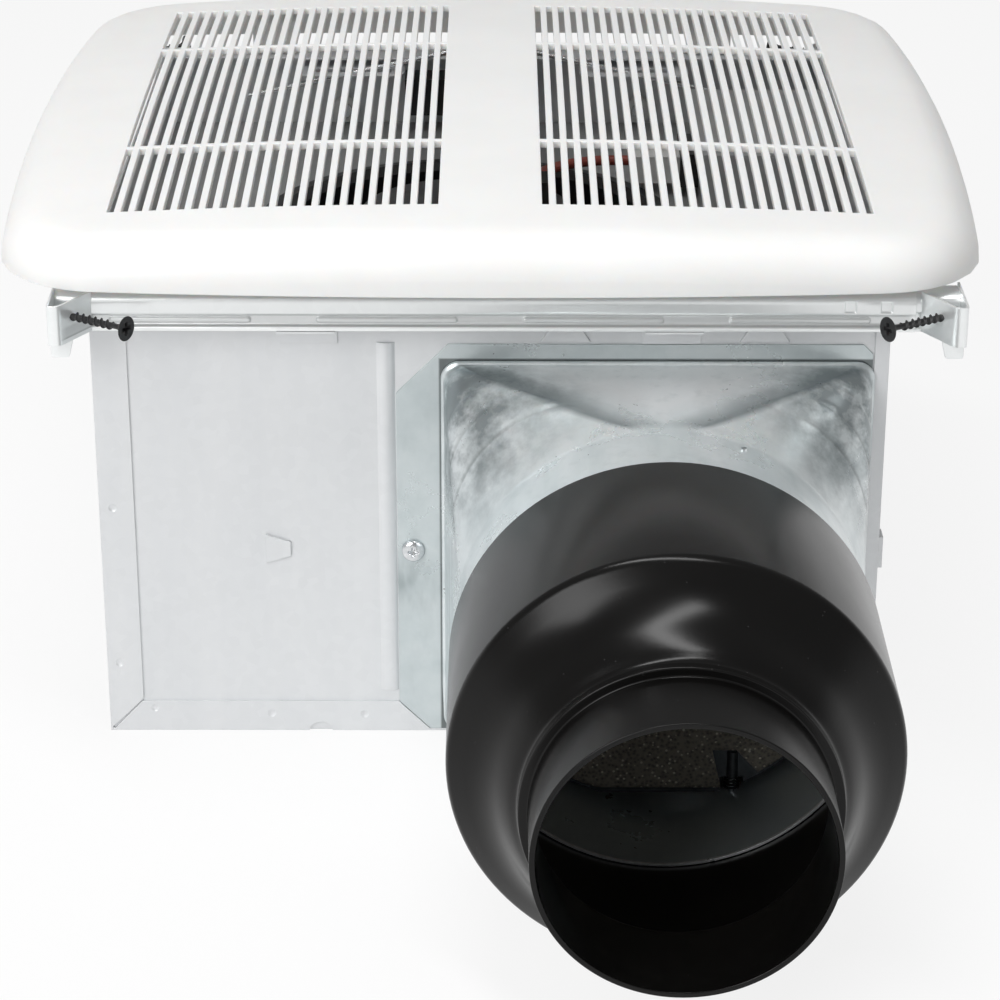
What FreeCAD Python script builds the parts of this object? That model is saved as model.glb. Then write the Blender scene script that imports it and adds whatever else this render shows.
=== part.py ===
import FreeCAD, Part
import math
import os
import re
from types import SimpleNamespace

import Sketcher

# Bathroom exhaust fan, millimetres. The origin is the centre of the back pan's outer face, +Z points to the
# room side (the grille), and the duct leaves along -Y.

SIZES = [
    ("housing_width", 303.0), ("housing_depth", 303.0), ("housing_height", 194.0), ("gauge", 0.9),
    ("fit_gap", 0.3), ("side_flange", 13.6), ("pan_flange", 13.0), ("rim_flange", 12.0),
    ("notch_radius", 4.8), ("notch_place", -67.5), ("bead_width", 7.0), ("bead_height", 1.2),
    ("bead_low", 18.0), ("bead_high", 166.0), ("dimple_radius", 3.0), ("dimple_depth", 0.5),
    ("joist_hole_radius", 2.5), ("joist_hole_across", 200.0), ("joist_hole_rise", 110.0),
    ("joist_hole_low", 40.0), ("knockout_radius", 11.1), ("duct_place", 63.8), ("duct_height", 79.5),
    ("connector_width", 163.0), ("connector_height", 157.0), ("connector_corner", 6.0),
    ("transition_length", 60.0), ("collar_end", 111.0), ("duct_radius", 76.2), ("flange_left", 18.2),
    ("flange_top", 7.5), ("flange_chamfer", 20.0), ("reducer_start", 94.0), ("reducer_shoulder", 172.0),
    ("reducer_neck", 199.0), ("reducer_end", 237.0), ("reducer_wall", 2.0), ("neck_step", 3.4),
    ("neck_ring", 6.0), ("outlet_radius", 50.8), ("damper_distance", 66.0), ("damper_offset", 28.0),
    ("damper_radius", 73.0), ("damper_trim", 69.8), ("damper_sheet", 1.2), ("pad_thickness", 2.0),
    ("pad_radius", 71.6), ("pad_trim", 67.6), ("pivot_radius", 1.2), ("pivot_clearance", 0.05),
    ("knuckle_radius", 2.2), ("knuckle_length", 11.0), ("knuckle_inset", 6.6), ("damper_wire", 0.9),
    ("damper_coil_radius", 2.6), ("damper_coil_pitch", 1.4), ("damper_coil_turns", 3.0),
    ("bar_depth", 15.0), ("bar_tall", 15.5), ("bar_drop", 2.0), ("bar_left", 162.8), ("bar_right", 175.8),
    ("bar_sleeve_end", 158.5), ("bar_tail", 140.0), ("bar_clearance", 0.4), ("bar_round", 3.0),
    ("bar_step", 1.6), ("bar_face_low", 6.8), ("bar_lip", 1.4), ("bracket_reach", 31.0),
    ("bracket_hem", 4.6), ("bracket_slant", 31.7), ("tongue_back", 8.0), ("tongue_width", 8.5),
    ("tongue_drop", 7.5), ("bar_bead_length", 53.0), ("bar_bead_pitch", 77.0), ("bar_bead_width", 2.2),
    ("hanger_screw_radius", 1.9), ("hanger_screw_head", 4.7), ("hanger_screw_out", 25.0),
    ("hanger_screw_in", 6.4), ("hanger_screw_rise", 9.3), ("guide_width", 22.0), ("guide_place", 68.8),
    ("rear_guide_place", 105.0), ("plate_drop", 35.0), ("wheel_place", -10.0), ("scroll_radius", 101.0),
    ("scroll_step", 17.0), ("wheel_radius", 88.0), ("wheel_blade_depth", 14.0), ("wheel_low", 22.0),
    ("wheel_drop", 19.0), ("wheel_blades", 36.0), ("wheel_wall", 1.6), ("hub_radius", 11.0),
    ("hub_high", 50.0), ("throat_radius", 78.0), ("throat_drop", 16.0), ("throat_lip", 90.0),
    ("throat_wall", 1.5), ("shaft_radius", 4.0), ("shaft_clearance", 0.05), ("motor_radius", 45.0),
    ("motor_drop", 71.0), ("isolator_height", 5.0), ("isolator_radius", 8.0), ("isolator_circle", 99.0),
    ("arm_width", 18.0), ("bracket_sheet", 2.0), ("stud_radius", 2.5), ("nut_radius", 5.0),
    ("nut_height", 4.0), ("wiring_left", 90.0), ("wiring_front", 18.0), ("wiring_rear", 116.0),
    ("wiring_drop", 8.0), ("capacitor_left", -40.0), ("capacitor_width", 60.0), ("capacitor_drop", 26.0),
    ("capacitor_tall", 17.0), ("capacitor_deep", 16.0), ("rear_bolt_place", 68.0), ("bolt_drop", 23.0),
    ("rear_bolt_radius", 3.0), ("lead_radius", 2.2), ("grille_half", 181.0), ("grille_half_width", 190.5),
    ("grille_bow", 5.0), ("grille_corner", 46.0), ("grille_lift", 1.0), ("grille_tall", 26.5),
    ("grille_drop", 3.5), ("grille_round", 16.0), ("grille_wall", 3.0), ("slot_pitch", 5.3),
    ("slot_width", 2.6), ("slots_across", 24.0), ("field_inner", 20.8), ("slot_reach", 141.0),
    ("rib_place", 70.0), ("rib_width", 3.0), ("spring_plane", 132.0), ("spring_lift", 9.0),
    ("spring_wire", 2.4), ("spring_coil_radius", 5.2), ("spring_coil_pitch", 3.0),
    ("spring_coil_turns", 3.0), ("spring_slant", 77.4), ("spring_leg", 115.0), ("retainer_slot_in", 46.0),
    ("retainer_slot_out", 84.0), ("retainer_slot_width", 6.0), ("retainer_drop", 4.0),
    ("retainer_margin", 6.0), ("side_tab_drop", 8.0), ("side_tab_tall", 13.0), ("tab_place", -82.45),
    ("tab_width", 9.7), ("tab_height", 80.0), ("tab_tall", 12.0), ("emboss_left", 28.5),
    ("emboss_right", 104.0), ("emboss_width", 19.0), ("emboss_slope", 3.0), ("emboss_low", 166.6),
    ("emboss_tall", 4.4), ("bearing_span", 45.0), ("shaft_inside", 60.0), ("blade_lead", 9.0),
    ("post_place", 100.0), ("post_length", 20.0), ("post_width", 5.0), ("spring_web", 4.0),
    ("socket_inset", 22.0), ("socket_width", 30.0), ("socket_depth", 8.0), ("socket_height", 15.0),
    ("plug_margin", 3.0), ("terminal_place", 20.0), ("terminal_side", 16.0), ("terminal_height", 14.0),
    ("lead_slack", 15.0),
]

# Heights that follow from the sizes, most of them from the housing's open rim
HEIGHTS = [
    ("bar_high", "housing_height - bar_drop"), ("bar_low", "bar_high - bar_tall"),
    ("tongue_low", "bar_low - tongue_drop"), ("grille_low", "housing_height + grille_lift"),
    ("grille_top", "grille_low + grille_tall"), ("spring_height", "housing_height + spring_lift"),
    ("retainer_height", "housing_height - retainer_drop"),
    ("rear_bolt_height", "retainer_height - bolt_drop"), ("plate_height", "housing_height - plate_drop"),
    ("wheel_high", "plate_height - wheel_drop"), ("throat_low", "plate_height - throat_drop"),
    ("motor_low", "plate_height - motor_drop"), ("wiring_top", "housing_height - wiring_drop"),
    ("capacitor_low", "housing_height - capacitor_drop"),
]

# Clinch marks on the front of the housing, as places across and up
PAN_DIMPLES = [(-133.5, 10.0), (-87.0, 7.6), (-50.0, 7.3)]
LEFT_DIMPLES = [(-146.3, 97.3), (-146.8, 30.0)]

X_AXIS = FreeCAD.Vector(1, 0, 0)
Y_AXIS = FreeCAD.Vector(0, 1, 0)
Z_AXIS = FreeCAD.Vector(0, 0, 1)

doc = FreeCAD.newDocument("bathroom_exhaust_fan")
sheet = doc.addObject("Spreadsheet::Sheet", "Sizes")
CELLS = SIZES + [(alias, "=" + formula) for alias, formula in HEIGHTS]
for row, (alias, value) in enumerate(CELLS, start=1):
    sheet.set("A%d" % row, alias)
    sheet.set("B%d" % row, str(value))
    sheet.setAlias("B%d" % row, alias)
doc.recompute()
size = SimpleNamespace(**{alias: float(sheet.get(alias)) for alias, value in CELLS})
nodes = []


def point(x, y, z):
    return FreeCAD.Vector(x, y, z)


def bound_text(text):
    """An expression on the sheet, from one written with the bare names of its cells."""
    return re.sub(r"[a-z][a-z_]*", r"Sizes.\g<0>", text)


def bind(thing, **expressions):
    for name, text in expressions.items():
        thing.setExpression(name, bound_text(text))
    return thing


def placed(thing, corner):
    for axis, text in zip("xyz", corner):
        thing.setExpression("Placement.Base." + axis, bound_text(text))
    return thing


def block(name, corner, lengths):
    """A bound box: its low corner and its three lengths are expressions."""
    thing = doc.addObject("Part::Box", name)
    bind(thing, Length=lengths[0], Width=lengths[1], Height=lengths[2])
    return placed(thing, corner)


def rod(name, start, radius, length, direction=Z_AXIS):
    """A bound cylinder from a start point along a direction."""
    thing = doc.addObject("Part::Cylinder", name)
    thing.Placement = FreeCAD.Placement(point(0, 0, 0), FreeCAD.Rotation(Z_AXIS, direction))
    bind(thing, Radius=radius, Height=length)
    return placed(thing, start)


def joined(name, pieces):
    thing = doc.addObject("Part::MultiFuse", name)
    thing.Shapes = pieces
    return thing


def cut(name, base, tools):
    thing = doc.addObject("Part::Cut", name)
    thing.Base = base
    thing.Tool = tools[0] if len(tools) == 1 else joined(name + "_tools", tools)
    return thing


def made(name, shape):
    thing = doc.addObject("Part::Feature", name)
    thing.Shape = shape
    return thing


def keep(thing, label):
    """Marks a finished sub-part and gives it the name of its file."""
    thing.Label = label
    nodes.append(thing)
    return thing


def bound_sketch(body, role, profile):
    """A closed polygon whose every corner is held by two bound distances from the origin."""
    sketch = body.newObject("Sketcher::SketchObject", body.Name + "_sketch")
    plane = [feature for feature in body.Origin.OriginFeatures if feature.Role == role][0]
    sketch.AttachmentSupport = (plane, [""])
    sketch.MapMode = "FlatFace"
    count = len(profile)
    turn = 2 * math.pi / count
    start = [point(100 + 10 * math.cos(turn * i), 10 * math.sin(turn * i), 0) for i in range(count)]
    for i in range(count):
        sketch.addGeometry(Part.LineSegment(start[i], start[(i + 1) % count]))
    for i in range(count):
        sketch.addConstraint(Sketcher.Constraint("Coincident", i, 2, (i + 1) % count, 1))
    for i, corner in enumerate(profile):
        for kind, text, value in zip(("DistanceX", "DistanceY"), corner, start[i]):
            number = sketch.addConstraint(Sketcher.Constraint(kind, i, 1, value))
            sketch.setExpression("Constraints[%d]" % number, bound_text(text))
    return sketch


def turned(name, profile):
    """A solid of revolution about its own Z axis, from (radius, height) corners."""
    body = doc.addObject("PartDesign::Body", name)
    sketch = bound_sketch(body, "XZ_Plane", profile)
    feature = body.newObject("PartDesign::Revolution", name + "_turn")
    feature.Profile = sketch
    feature.ReferenceAxis = (sketch, ["V_Axis"])
    feature.Angle = 360
    return body


def pressed(name, role, profile, length):
    """A plate: a bound polygon on one of the body's own planes, padded by a bound length."""
    body = doc.addObject("PartDesign::Body", name)
    sketch = bound_sketch(body, role, profile)
    feature = body.newObject("PartDesign::Pad", name + "_pad")
    feature.Profile = sketch
    bind(feature, Length=length)
    return body


def biarc(start, heading, end, arrival):
    """Two arcs that join two points and are tangent to a heading at each."""
    span = end.sub(start)
    total = heading.add(arrival)
    spread = 2 * (1 - heading.dot(arrival))
    along = span.dot(total)
    reach = (math.sqrt(along * along + spread * span.dot(span)) - along) / spread
    corner_in = start.add(heading * reach)
    corner_out = end.sub(arrival * reach)
    middle = (corner_in + corner_out) * 0.5
    arcs = []
    for first, corner, last in ((start, corner_in, middle), (middle, corner_out, end)):
        chord = (first + last) * 0.5
        half = first.distanceToPoint(last) / 2
        rise = corner.sub(chord)
        crown = chord.add(rise * (half * math.tan(math.atan2(rise.Length, half) / 2) / rise.Length))
        arcs.append(Part.Arc(first, crown, last).toShape())
    return arcs


def coil(radius, pitch, turns, wire, name):
    """A wound wire about the Z axis, quarter turn by quarter turn, with its least gap to itself printed."""
    slope = pitch / (2 * math.pi)
    quarters = int(round(turns * 4))

    def place(turn):
        return point(radius * math.cos(turn), radius * math.sin(turn), slope * turn)

    def heading(turn):
        return point(-radius * math.sin(turn), radius * math.cos(turn), slope).normalize()

    edges = []
    for quarter in range(quarters):
        first = quarter * math.pi / 2
        last = first + math.pi / 2
        edges += biarc(place(first), heading(first), place(last), heading(last))
    samples = [place(step * math.pi / 12) for step in range(int(turns * 24) + 1)]
    apart = [one.distanceToPoint(two) for i, one in enumerate(samples) for two in samples[i + 13:]]
    print("%s: least gap between turns %.2f" % (name, min(apart) - wire))
    section = Part.Wire(Part.makeCircle(wire / 2, place(0), heading(0)))
    return Part.Wire(edges).makePipeShell([section], True, False)


def tube_route(corners, radius):
    """A round lead along straight runs joined by tangent arcs as large as the runs allow."""
    edges = []
    start = corners[0]
    for i in range(1, len(corners) - 1):
        back = corners[i - 1].sub(corners[i])
        ahead = corners[i + 1].sub(corners[i])
        reach = 0.45 * min(back.Length, ahead.Length)
        back.normalize()
        ahead.normalize()
        first = corners[i].add(back * reach)
        last = corners[i].add(ahead * reach)
        half_turn = (math.pi - back.getAngle(ahead)) / 2
        bend = reach / math.tan(half_turn)
        print("lead bend radius %.1f" % bend)
        inward = (back + ahead).normalize()
        crown = corners[i].add(inward * (bend / math.cos(half_turn) - bend))
        edges.append(Part.LineSegment(start, first).toShape())
        edges.append(Part.Arc(first, crown, last).toShape())
        start = last
    edges.append(Part.LineSegment(start, corners[-1]).toShape())
    section = Part.Wire(Part.makeCircle(radius, corners[0], corners[1].sub(corners[0])))
    return Part.Wire(edges).makePipeShell([section], True, False)


# Places that several pieces share
FRONT = -size.housing_depth / 2
CONNECTOR_LEFT = size.duct_place - size.connector_width / 2
PLATE_TOP = size.plate_height + size.gauge
BRACKET_TOP = PLATE_TOP + size.isolator_height
AXLE = point(size.duct_place + size.damper_offset, FRONT - size.damper_distance, size.duct_height)


def back_pan():
    plate = block("pan_plate", ("-housing_width / 2", "-housing_depth / 2", "0"),
                  ("housing_width", "housing_depth", "gauge"))
    edge = "duct_place - connector_width / 2 - flange_left - fit_gap"
    flange = pressed("pan_front", "XZ_Plane", [
        ("-housing_width / 2 + gauge", "0"), ("-housing_width / 2 + pan_flange", "pan_flange"),
        (edge, "pan_flange"), (edge + " + pan_flange", "0")], "gauge")
    placed(flange, ("0", "-housing_depth / 2 + gauge", "0"))
    rear = pressed("pan_rear", "XZ_Plane", [
        ("-housing_width / 2 + gauge", "0"), ("-housing_width / 2 + pan_flange", "pan_flange"),
        ("housing_width / 2 - pan_flange", "pan_flange"), ("housing_width / 2 - gauge", "0")], "gauge")
    placed(rear, ("0", "housing_depth / 2", "0"))
    tray = joined("pan_tray", [plate, flange, rear])
    notch = rod("pan_notch", ("notch_place", "-housing_depth / 2 + gauge", "-notch_radius / 4"), "notch_radius",
                "gauge", -Y_AXIS)
    dimples = [dimple("pan", x, z) for x, z in PAN_DIMPLES]
    keep(cut("back_pan", tray, [notch] + dimples), "back_pan")


def dimple(owner, x, z):
    """A clinch mark pressed into the front of the housing."""
    thing = doc.addObject("Part::Sphere", owner + "_dimple")
    bind(thing, Radius="dimple_radius")
    return placed(thing, (str(x), "-housing_depth / 2 - dimple_radius + dimple_depth", str(z)))


def side_panel(name, side, flange):
    """A side wall with a narrow return flange in front and behind, mitred over the pan's flanges."""
    low = "-housing_width / 2" if side < 0 else "housing_width / 2 - gauge"
    wall = block(name + "_wall", (low, "-housing_depth / 2", "gauge"),
                 ("gauge", "housing_depth", "housing_height - gauge"))
    pieces = [wall]
    widths = {"front": flange, "rear": "side_flange"}
    for end, width in widths.items():
        foot = "gauge + 2 * fit_gap"
        inner = "%s - %s" % ("housing_width / 2", width)
        lean = "%s + %s - gauge" % (foot, width)
        sign = "-1 * " if side < 0 else ""
        profile = [(sign + "(housing_width / 2)", foot), (sign + "(housing_width / 2)", "housing_height"),
                   (sign + "(" + inner + ")", "housing_height"), (sign + "(" + inner + ")", lean),
                   (sign + "(housing_width / 2 - gauge)", foot)]
        plate = pressed(name + "_" + end, "XZ_Plane", profile, "gauge")
        depth = "-housing_depth / 2 + gauge" if end == "front" else "housing_depth / 2"
        pieces.append(placed(plate, ("0", depth, "0")))
    if side > 0:
        pieces.append(block("right_tab", ("housing_width / 2", "-housing_depth / 2 + 2 * gauge",
                                          "duct_height - side_tab_drop"),
                            ("2 * gauge", "side_tab_drop", "side_tab_tall")))
    body = joined(name + "_body", pieces)
    holes = []
    for across in ("-joist_hole_across / 2", "joist_hole_across / 2"):
        for rise in ("joist_hole_low", "joist_hole_low + joist_hole_rise"):
            holes.append(rod(name + "_hole", ("-housing_width", across, rise), "joist_hole_radius",
                             "2 * housing_width", X_AXIS))
    if side > 0:
        holes.append(rod("knockout_hole", ("housing_width / 4", "(wiring_front + wiring_rear) / 2",
                                           "(plate_height + wiring_top) / 2"),
                         "knockout_radius", "housing_width", X_AXIS))
    else:
        holes += [dimple(name, x, z) for x, z in LEFT_DIMPLES]
    keep(cut(name, body, holes), name)


def upright_panel(name, side):
    """The front or rear wall, between the side walls, with its rim flange turned inwards."""
    outer = "-housing_depth / 2 + gauge" if side < 0 else "housing_depth / 2 - 2 * gauge"
    rim = "-housing_depth / 2 + 2 * gauge" if side < 0 else "housing_depth / 2 - 2 * gauge - rim_flange"
    wall = block(name + "_wall", ("-housing_width / 2 + gauge", outer, "gauge"),
                 ("housing_width - 2 * gauge", "gauge", "housing_height - gauge"))
    flange = block(name + "_rim", ("-housing_width / 2 + gauge + fit_gap", rim, "housing_height - gauge"),
                   ("housing_width - 2 * gauge - 2 * fit_gap", "rim_flange", "gauge"))
    return [wall, flange]


def front_panel():
    pieces = upright_panel("front", -1)
    swell = size.bead_width / 2
    round_radius = (swell ** 2 + size.bead_height ** 2) / (2 * size.bead_height)
    face = FRONT + size.gauge
    bead_centre = CONNECTOR_LEFT - size.flange_left - size.fit_gap - swell
    bead = Part.makeCylinder(round_radius, size.bead_high - size.bead_low,
                             point(bead_centre, face - size.bead_height + round_radius, size.bead_low))
    room = Part.makeBox(size.bead_width, size.bead_height, size.housing_height,
                        point(bead_centre - swell, face - size.bead_height, 0))
    pieces.append(made("front_bead", bead.common(room)))
    tab = pressed("front_tab", "XZ_Plane", [
        ("tab_place - tab_width / 2", "tab_height - tab_tall / 2"),
        ("tab_place - tab_width / 2", "tab_height + tab_tall / 2"),
        ("tab_place + tab_width / 2", "tab_height + tab_tall / 4"),
        ("tab_place + tab_width / 2", "tab_height - tab_tall / 4")], "bead_height")
    pieces.append(placed(tab, ("0", "-housing_depth / 2 + gauge", "0")))
    for middle in ("emboss_left", "emboss_right"):
        emboss = pressed("front_emboss", "XZ_Plane", [
            (middle + " - emboss_width / 2", "emboss_low"),
            (middle + " - emboss_width / 2 + emboss_slope", "emboss_low + emboss_tall"),
            (middle + " + emboss_width / 2 - emboss_slope", "emboss_low + emboss_tall"),
            (middle + " + emboss_width / 2", "emboss_low")], "bead_height")
        pieces.append(placed(emboss, ("0", "-housing_depth / 2 + gauge", "0")))
    body = joined("front_body", pieces)
    opening = block("front_opening", ("duct_place - connector_width / 2 + gauge", "-housing_depth",
                                      "duct_height - connector_height / 2 + gauge"),
                    ("connector_width - 2 * gauge", "housing_depth", "connector_height - 2 * gauge"))
    keep(cut("front_panel", body, [opening]), "front_panel")


def rear_panel():
    body = joined("rear_body", upright_panel("rear", 1))
    holes = [rod("rear_bolt_hole", (side + "rear_bolt_place", "0", "rear_bolt_height"),
                 "rear_bolt_radius + fit_gap", "housing_depth", Y_AXIS) for side in ("-1 * ", "")]
    keep(cut("rear_panel", body, holes), "rear_panel")


def rear_bolts():
    """Two bolts through the rear wall, pan heads outside and nylon nuts inside."""
    bolts = []
    nuts = []
    for side in ("-1 * ", ""):
        bolt = turned("rear_bolt", [
            ("0", "0"), ("rear_bolt_radius * 2", "0"), ("rear_bolt_radius * 2", "-gauge"),
            ("rear_bolt_radius", "-rear_bolt_radius"), ("0", "-rear_bolt_radius")])
        bolt.Placement = FreeCAD.Placement(point(0, 0, 0), FreeCAD.Rotation(Z_AXIS, -Y_AXIS))
        placed(bolt, (side + "rear_bolt_place", "housing_depth / 2 - gauge", "rear_bolt_height"))
        shank = rod("rear_shank", (side + "rear_bolt_place", "housing_depth / 2 - 2 * gauge - nut_height * 1.5",
                                   "rear_bolt_height"), "rear_bolt_radius", "gauge + nut_height * 1.5", Y_AXIS)
        bolts.append(joined("rear_bolt_whole", [bolt, shank]))
        nut = rod("rear_nut", (side + "rear_bolt_place", "housing_depth / 2 - 2 * gauge - nut_height",
                               "rear_bolt_height"), "nut_radius * 1.2", "nut_height", Y_AXIS)
        bore = rod("rear_nut_bore", (side + "rear_bolt_place", "0", "rear_bolt_height"),
                   "rear_bolt_radius + shaft_clearance", "housing_depth", Y_AXIS)
        nuts.append(cut("rear_nut_whole", nut, [bore]))
    keep(compound("rear_bolts", bolts), "rear_bolts")
    keep(compound("rear_nuts", nuts), "rear_nuts")


def compound(name, pieces):
    thing = doc.addObject("Part::Compound", name)
    thing.Links = pieces
    return thing


def square_ring(width, tall, corner, distance):
    """A rounded rectangle about the duct axis, as four sides and four corner arcs."""
    edges = []
    for quarter in range(4):
        turn = FreeCAD.Rotation(Y_AXIS, -90 * quarter)
        across, up = (width, tall) if quarter % 2 == 0 else (tall, width)
        side = point(across / 2, 0, 0)
        low = side + point(0, 0, -up / 2 + corner)
        high = side + point(0, 0, up / 2 - corner)
        middle = point(across / 2 - corner, 0, up / 2 - corner)
        crown = middle + point(math.sqrt(0.5), 0, math.sqrt(0.5)) * corner
        last = middle + point(0, 0, corner)
        shift = point(size.duct_place, FRONT - distance, size.duct_height)
        low, high, crown, last = [turn.multVec(p) + shift for p in (low, high, crown, last)]
        edges.append(Part.LineSegment(low, high).toShape())
        edges.append(Part.Arc(high, crown, last).toShape())
    return Part.Wire(edges)


def round_ring(radius, distance, flat_turn):
    """A circle about the duct axis, split into the same eight edges as the square ring."""
    edges = []
    centre = point(size.duct_place, FRONT - distance, size.duct_height)

    def place(angle):
        return centre + point(radius * math.cos(angle), 0, radius * math.sin(angle))

    for quarter in range(4):
        middle = quarter * math.pi / 2
        low = middle - flat_turn
        high = middle + flat_turn
        last = middle + math.pi / 2 - flat_turn
        edges.append(Part.Arc(place(low), place(middle), place(high)).toShape())
        edges.append(Part.Arc(place(high), place((high + last) / 2), place(last)).toShape())
    return Part.Wire(edges)


def duct_connector():
    """Flange and square-to-round transition of one drawn sheet, and the round collar welded to its end."""
    flat_turn = math.radians(6)
    changes = []
    collars = []
    for inset in (0.0, size.gauge):
        square = square_ring(size.connector_width - 2 * inset, size.connector_height - 2 * inset,
                             size.connector_corner - inset, 0)
        ring = round_ring(size.duct_radius - inset, size.transition_length, flat_turn)
        changes.append(Part.makeLoft([square, ring], True, True))
        start = point(size.duct_place, FRONT - size.transition_length, size.duct_height)
        collars.append(Part.makeCylinder(size.duct_radius - inset, size.collar_end - size.transition_length, start,
                                         -Y_AXIS))
    shell = changes[0].cut(changes[1])
    left = CONNECTOR_LEFT - size.flange_left
    right = CONNECTOR_LEFT + size.connector_width
    low = size.duct_height - size.connector_height / 2
    high = low + size.connector_height + size.flange_top
    foot = size.pan_flange + size.fit_gap
    tip = size.flange_top / 2
    outline = [(left, foot), (left, high - size.flange_chamfer), (left + size.flange_chamfer, high),
               (right - tip, high), (right, high - tip), (right, low), (left + foot - low, low)]
    corners = [point(x, FRONT, z) for x, z in outline]
    plate = Part.Face(Part.makePolygon(corners + corners[:1])).extrude(Y_AXIS * size.gauge)
    hole = Part.Face(square_ring(size.connector_width - 2 * size.gauge, size.connector_height - 2 * size.gauge,
                                 size.connector_corner - size.gauge, 0)).extrude(Y_AXIS * size.gauge)
    screw_hole = Part.makeCylinder(size.stud_radius, size.gauge,
                                   point(left + size.flange_left / 3, FRONT, size.duct_height), Y_AXIS)
    pivot_holes = Part.makeCylinder(size.pivot_radius + size.pivot_clearance, size.duct_radius * 2,
                                    AXLE - Z_AXIS * size.duct_radius)
    body = shell.fuse(plate.cut(hole).cut(screw_hole)).removeSplitter()
    keep(made("duct_connector", body), "duct_connector")
    keep(made("duct_collar", collars[0].cut(collars[1]).cut(pivot_holes)), "duct_collar")
    screw = turned("connector_screw", [
        ("0", "0"), ("stud_radius * 1.8", "0"), ("stud_radius * 1.7", "stud_radius * 0.6"),
        ("stud_radius", "stud_radius"), ("0", "stud_radius")])
    screw.Placement = FreeCAD.Placement(point(0, 0, 0), FreeCAD.Rotation(Z_AXIS, -Y_AXIS))
    place = "duct_place - connector_width / 2 - flange_left * 2 / 3"
    placed(screw, (place, "-housing_depth / 2", "duct_height"))
    keep(screw, "connector_screw")


def reducer():
    """Black plastic reducer pushed over the round collar."""
    bore = "duct_radius + fit_gap"
    shell = "duct_radius + fit_gap + reducer_wall"
    neck = "outlet_radius + neck_step"
    inside = "outlet_radius - reducer_wall"
    body = turned("reducer", [
        (bore, "reducer_start"), (shell, "reducer_start"), (shell, "reducer_shoulder - reducer_wall"),
        (shell + " - reducer_wall / 2", "reducer_shoulder"), (neck, "reducer_neck"),
        (neck, "reducer_neck + neck_ring"), ("outlet_radius", "reducer_neck + neck_ring"),
        ("outlet_radius", "reducer_end - reducer_wall / 4"),
        ("outlet_radius - reducer_wall / 4", "reducer_end"),
        (inside, "reducer_end"), (inside, "reducer_neck"), (bore, "reducer_shoulder - reducer_wall")])
    body.Placement = FreeCAD.Placement(point(0, 0, 0), FreeCAD.Rotation(Z_AXIS, -Y_AXIS))
    placed(body, ("duct_place", "-housing_depth / 2", "duct_height"))
    keep(body, "reducer")


def trimmed_disc(radius, trim, thick, shift):
    """A disc across the duct with its top and bottom trimmed so that it can swing about an off-centre pin."""
    centre = point(size.duct_place, AXLE.y + shift, size.duct_height)
    disc = Part.makeCylinder(radius, thick, centre, -Y_AXIS)
    band = Part.makeBox(2 * radius, thick, 2 * trim, centre - point(radius, thick, trim))
    return disc.common(band)


def damper():
    """Flap, foam face, two pivot pins and a closing spring, all swinging about one upright axis."""
    flap = trimmed_disc(size.damper_radius, size.damper_trim, size.damper_sheet, size.damper_sheet / 2)
    pad = trimmed_disc(size.pad_radius, size.pad_trim, size.pad_thickness, -size.damper_sheet / 2)
    wall_height = math.sqrt((size.duct_radius - size.gauge) ** 2 - size.damper_offset ** 2)
    knuckle_end = wall_height - size.knuckle_inset
    notch_half = size.damper_coil_radius + 2 * size.damper_wire
    pins = []
    for side in (1, -1):
        low = AXLE + Z_AXIS * (knuckle_end - size.knuckle_length if side > 0 else -knuckle_end)
        sleeve = Part.makeCylinder(size.knuckle_radius, size.knuckle_length, low)
        notch = Part.makeBox(2 * notch_half, 2 * notch_half, size.damper_radius,
                             AXLE + point(-notch_half, -notch_half,
                                          knuckle_end if side > 0 else -knuckle_end - size.damper_radius))
        flap = flap.fuse(sleeve).cut(notch)
        relief = Part.makeCylinder(size.knuckle_radius + size.fit_gap, size.damper_radius,
                                   AXLE + Z_AXIS * (knuckle_end - size.knuckle_length - size.fit_gap if side > 0
                                                    else -knuckle_end - size.damper_radius + size.knuckle_length
                                                    + size.fit_gap))
        pad = pad.cut(notch).cut(relief)
        pin_out = wall_height + size.gauge * 2
        pin_in = knuckle_end - size.knuckle_length
        foot = AXLE + Z_AXIS * (pin_in if side > 0 else -pin_out)
        pin = Part.makeCylinder(size.pivot_radius, pin_out - pin_in, foot)
        pins.append(pin)
        bore = Part.makeCylinder(size.pivot_radius, size.damper_radius,
                                 AXLE + Z_AXIS * (pin_in if side > 0 else -pin_in - size.damper_radius))
        flap = flap.cut(bore)
    keep(made("damper_flap", flap.removeSplitter()), "damper_flap")
    keep(made("damper_pad", pad.removeSplitter()), "damper_pad")
    keep(made("damper_pins", Part.makeCompound(pins)), "damper_pins")
    spring = coil(size.damper_coil_radius, size.damper_coil_pitch, size.damper_coil_turns, size.damper_wire,
                  "damper spring")
    height = size.damper_coil_pitch * size.damper_coil_turns
    spring.translate(AXLE - Z_AXIS * (knuckle_end + size.fit_gap + size.damper_wire / 2 + height))
    keep(made("damper_spring", spring), "damper_spring")


def offset_line(corners, normal, distance):
    """An open line of corners moved to its left, with mitred corners."""
    lefts = [normal.cross(last.sub(first)).normalize() for first, last in zip(corners, corners[1:])]
    moved = [corners[0] + lefts[0] * distance]
    for corner, before, after in zip(corners[1:], lefts, lefts[1:]):
        moved.append(corner + (before + after) * (distance / (1 + before.dot(after))))
    moved.append(corners[-1] + lefts[-1] * distance)
    return moved


def strip(corners, normal, thickness, lift):
    """A bent sheet: an open line of corners thickened to its left and lifted along its normal."""
    outline = corners + offset_line(corners, normal, thickness)[::-1]
    return Part.Face(Part.makePolygon(outline + outline[:1])).extrude(normal * lift)


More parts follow.
